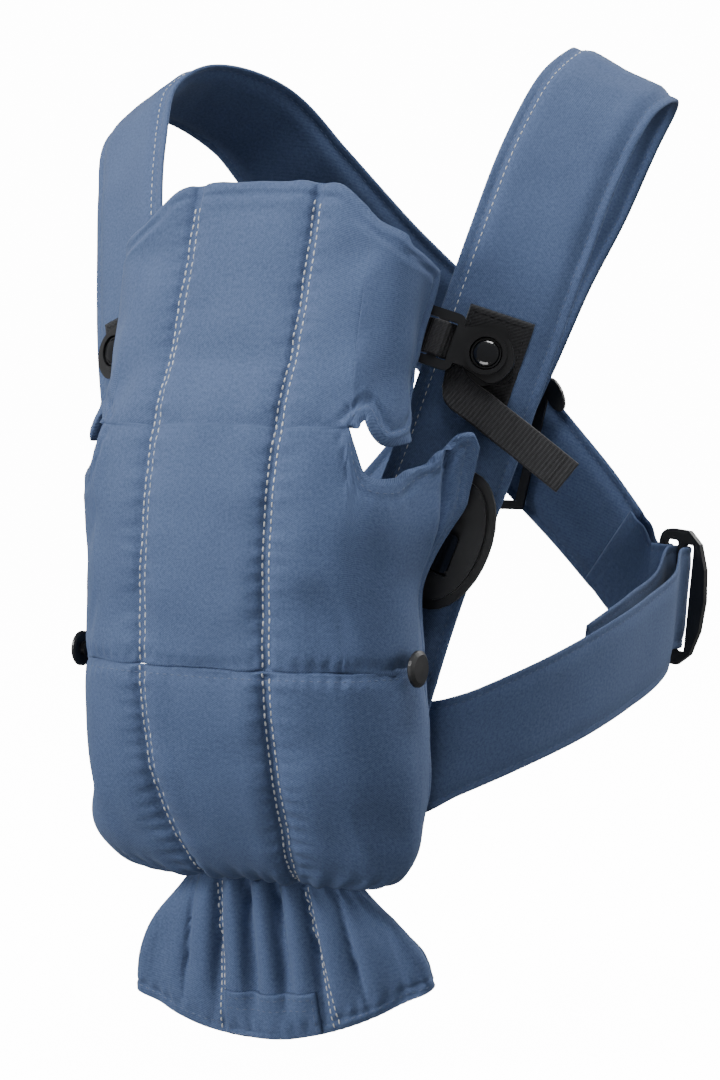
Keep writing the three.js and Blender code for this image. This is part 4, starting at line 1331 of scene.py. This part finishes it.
def clip_webbing(side):
    """Grosgrain webbing through the ladder lock, with a hanging tail stitched across near its end."""
    axes = on_strap(side, 12, 5.5)
    under, middle, over = -0.4 - WEB_THICK / 2, CLIP_PLATE / 2, CLIP_PLATE + 0.4 + WEB_THICK / 2
    first, second, lock = -5, 4.6, -25.5
    half, ribbed = WEB_WIDTH / 2, 6.6
    link = 7.5 if side == "left" else 17.5
    lean = (0.34, 0.94, 0) if side == "left" else (1, 0.1, 0)
    tail = [(-10, -19.5), (8, -27), (32, -35.5), (58, -45)] if side == "left" else [(-22, -21), (-24, -36)]
    rows = [(first - link, under - 1), (first - 3.2, under), (first, middle), (first + 2.6, over)]
    rows += [(second - 2.6, over), (second, middle), (second + 2.2, under)]
    rows = [(lock + x, 0, z, 0, 1, 0) for x, z in rows]
    rows += [(x, y, under + 0.7 * i, *lean) for i, (x, y) in enumerate(tail)]
    centre, across, out = band_frames(rows, 520)
    rims = np.linspace(ribbed + 1, half, 5)
    place = np.concatenate([-rims[::-1], np.linspace(-ribbed, ribbed, 9), rims])
    travel = distances(centre)
    selvedge = smooth(0, 1.4, half - np.abs(place))
    ribs = 0.22 * np.sin(2 * math.pi * travel / 2.1)[:, None] * selvedge[None]
    sewn = Sewn()
    outer, inner = ribbon(sewn, centre, across, out, place, web_profile(WEB_THICK), ribs)
    sewn.points = [placed(axes, p) for p in sewn.points]
    if side == "right":
        sewn.faces = [tuple(reversed(f)) for f in sewn.faces]
    facing = placed((0, *axes[1:]), faces_of(outer, inner))
    outer = placed(axes, outer)
    bar = {"slot": 0, "length": 1.8, "gap": 0.8, "width": 0.5, "height": 0.5}
    for row in (-14, -20):
        seam(sewn, outer, facing, row=float(len(outer) + row), **bar)
    finish_piece(sewn, f"webbing_{side}", f"clip_webbing_{side}", f"{side}_head_clip", [WEBBING])


def clip_patch(side):
    """The black patch sewn on the strap under the clip's base."""
    axes = on_strap(side, 12, 0.4)
    half_x, half_y, inset = 17, 22, 3
    x, y = np.meshgrid(np.linspace(-half_x, half_x, 24), np.linspace(-half_y, half_y, 30))
    grid = placed(axes, np.stack([x, y, np.full_like(x, 0.5)], -1))
    edge = np.minimum(half_x - np.abs(x), half_y - np.abs(y))
    thick = 1.2 * rounded(edge, 0.9) * (1 - 0.3 * bump(edge, inset, 0.8))
    out = np.broadcast_to(axes[3], grid.shape)
    flat = np.stack([x, y], -1)
    layers = [np.concatenate([grid + out * (k * thick / 2)[..., None], flat], -1) for k in (1, -1)]
    sewn = sewn_part(tuple(layers), 1 if side == "left" else -1)
    a, b = half_x - inset, half_y - inset
    path = [(-a, -b), (a, -b), (a, b), (-a, b), (-a, -b)]
    for (x0, y0), (x1, y1) in zip(path, path[1:]):
        t = np.linspace(0, 1, 20)[:, None]
        flat = np.concatenate([x0 + (x1 - x0) * t, y0 + (y1 - y0) * t, np.full_like(t, 1.1)], 1)
        stitches(sewn, placed(axes, flat), np.broadcast_to(axes[3], (20, 3)), 0, **FINE)
    finish_piece(sewn, f"sewn_patch_{side}", f"clip_patch_{side}", "harness", [PATCH])


BEVEL = 0.5 * MM


def shade_hardware():
    """Rounded edges and moulded plastic on the frame's own hardware."""
    glossy = ("clip_button", "clasp_latch")
    shown = ("clip_base", "clip_button", "head_clip", "clasp_plate", "clasp_latch", "clasp_hook")
    for name, node in NODES.items():
        if not name.startswith(shown + ("d_ring", "seat_knob", "cross_ring")):
            continue
        gloss = name.startswith(glossy)
        node.data.materials.clear()
        node.data.materials.append(GLOSS if gloss else PLASTIC)
        node.data.polygons.foreach_set("use_smooth", np.ones(len(node.data.polygons), bool))
        bevel = node.modifiers.new("edges", "BEVEL")
        bevel.width = BEVEL
        bevel.segments = 2
        bevel.angle_limit = math.radians(32)
        bevel.harden_normals = True


# ---- Everything -----------------------------------------------------------------------------------

front_panel()
lower_panel()
hem_tab(skirt())
crotch_bridge()
belly_pad()
for side in ("left", "right"):
    shoulder_strap(side)
    waist_strap(side)
    strap_loop(side)
    clip_webbing(side)
    clip_patch(side)
shade_hardware()

# ---- Floor, lights and camera ---------------------------------------------------------------------


def stage_material():
    n = Nodes("stage")
    pale = n.ramp(n.grain(n.place(), 3.0), [(0.3, (0.8, 0.8, 0.8)), (0.7, (0.82, 0.82, 0.82))])
    n.put({"Base Color": pale, "Roughness": 0.9, "Emission Color": (1, 1, 1, 1), "Emission Strength": 14.0})
    return n.material


def backdrop():
    """A pale round floor that curves up into a wall all round the carrier."""
    flat, bend, rise, sides, floor = 5.0, 2.0, 7.0, 72, (HEM - 8) * MM
    turns = np.linspace(0, math.pi / 2, 20)
    profile = [(flat + bend * math.sin(a), bend - bend * math.cos(a)) for a in turns]
    profile.append((flat + bend, rise))
    points = [(0, 0, floor)]
    for radius, z in profile:
        for a in np.linspace(0, 2 * math.pi, sides, endpoint=False):
            points.append((radius * math.cos(a), radius * math.sin(a), z + floor))
    faces = [(0, 1 + j, 1 + (j + 1) % sides) for j in range(sides)]
    for row in range(1, (len(profile) - 1) * sides, sides):
        for j in range(sides):
            n = (j + 1) % sides
            faces.append((row + j, row + sides + j, row + sides + n, row + n))
    mesh = bpy.data.meshes.new("backdrop")
    mesh.from_pydata(points, [], faces)
    mesh.materials.append(stage_material())
    mesh.polygons.foreach_set("use_smooth", np.ones(len(faces), bool))
    piece = linked("backdrop", mesh)
    piece.visible_diffuse = piece.visible_glossy = False


LIT_PLACE = Vector((0, -0.05, -0.25))


def softbox(name, place, size, power):
    light = bpy.data.lights.new(name, "AREA")
    light.energy = power
    light.shape = "RECTANGLE"
    light.size, light.size_y = size
    lamp = linked(name, light)
    lamp.location = place
    lamp.rotation_euler = (LIT_PLACE - Vector(place)).to_track_quat("-Z", "Y").to_euler()


backdrop()
softbox("key", (-1.45, -1.65, 0.8), (0.8, 0.8), 49)
softbox("top", (0.5, -0.4, 1.8), (0.9, 0.9), 36)
softbox("bounce", (0.1, -1.6, -1.0), (1.2, 0.7), 17)
softbox("fill", (1.9, 0.45, -0.1), (1.2, 1.4), 11)
softbox("back", (0.9, 1.5, 0.8), (1.2, 1.0), 18)

world = bpy.data.worlds.new("studio")
world.use_nodes = True
background = world.node_tree.nodes["Background"].inputs
background["Color"].default_value = (1, 1, 1, 1)
background["Strength"].default_value = 0.2
bpy.context.scene.world = world

camera = linked("camera", bpy.data.cameras.new("camera"))
camera.data.sensor_width = 36
camera.data.lens = 106.9
camera.data.clip_start, camera.data.clip_end = 0.05, 30
azimuth, elevation = math.radians(30), math.radians(4)
level = math.cos(elevation)
back = Vector((math.sin(azimuth) * level, -math.cos(azimuth) * level, math.sin(elevation)))
camera.location = (0.8404, -1.4927, -0.1256)
camera.rotation_mode = "QUATERNION"
camera.rotation_quaternion = back.to_track_quat("Z", "Y")
bpy.context.scene.camera = camera
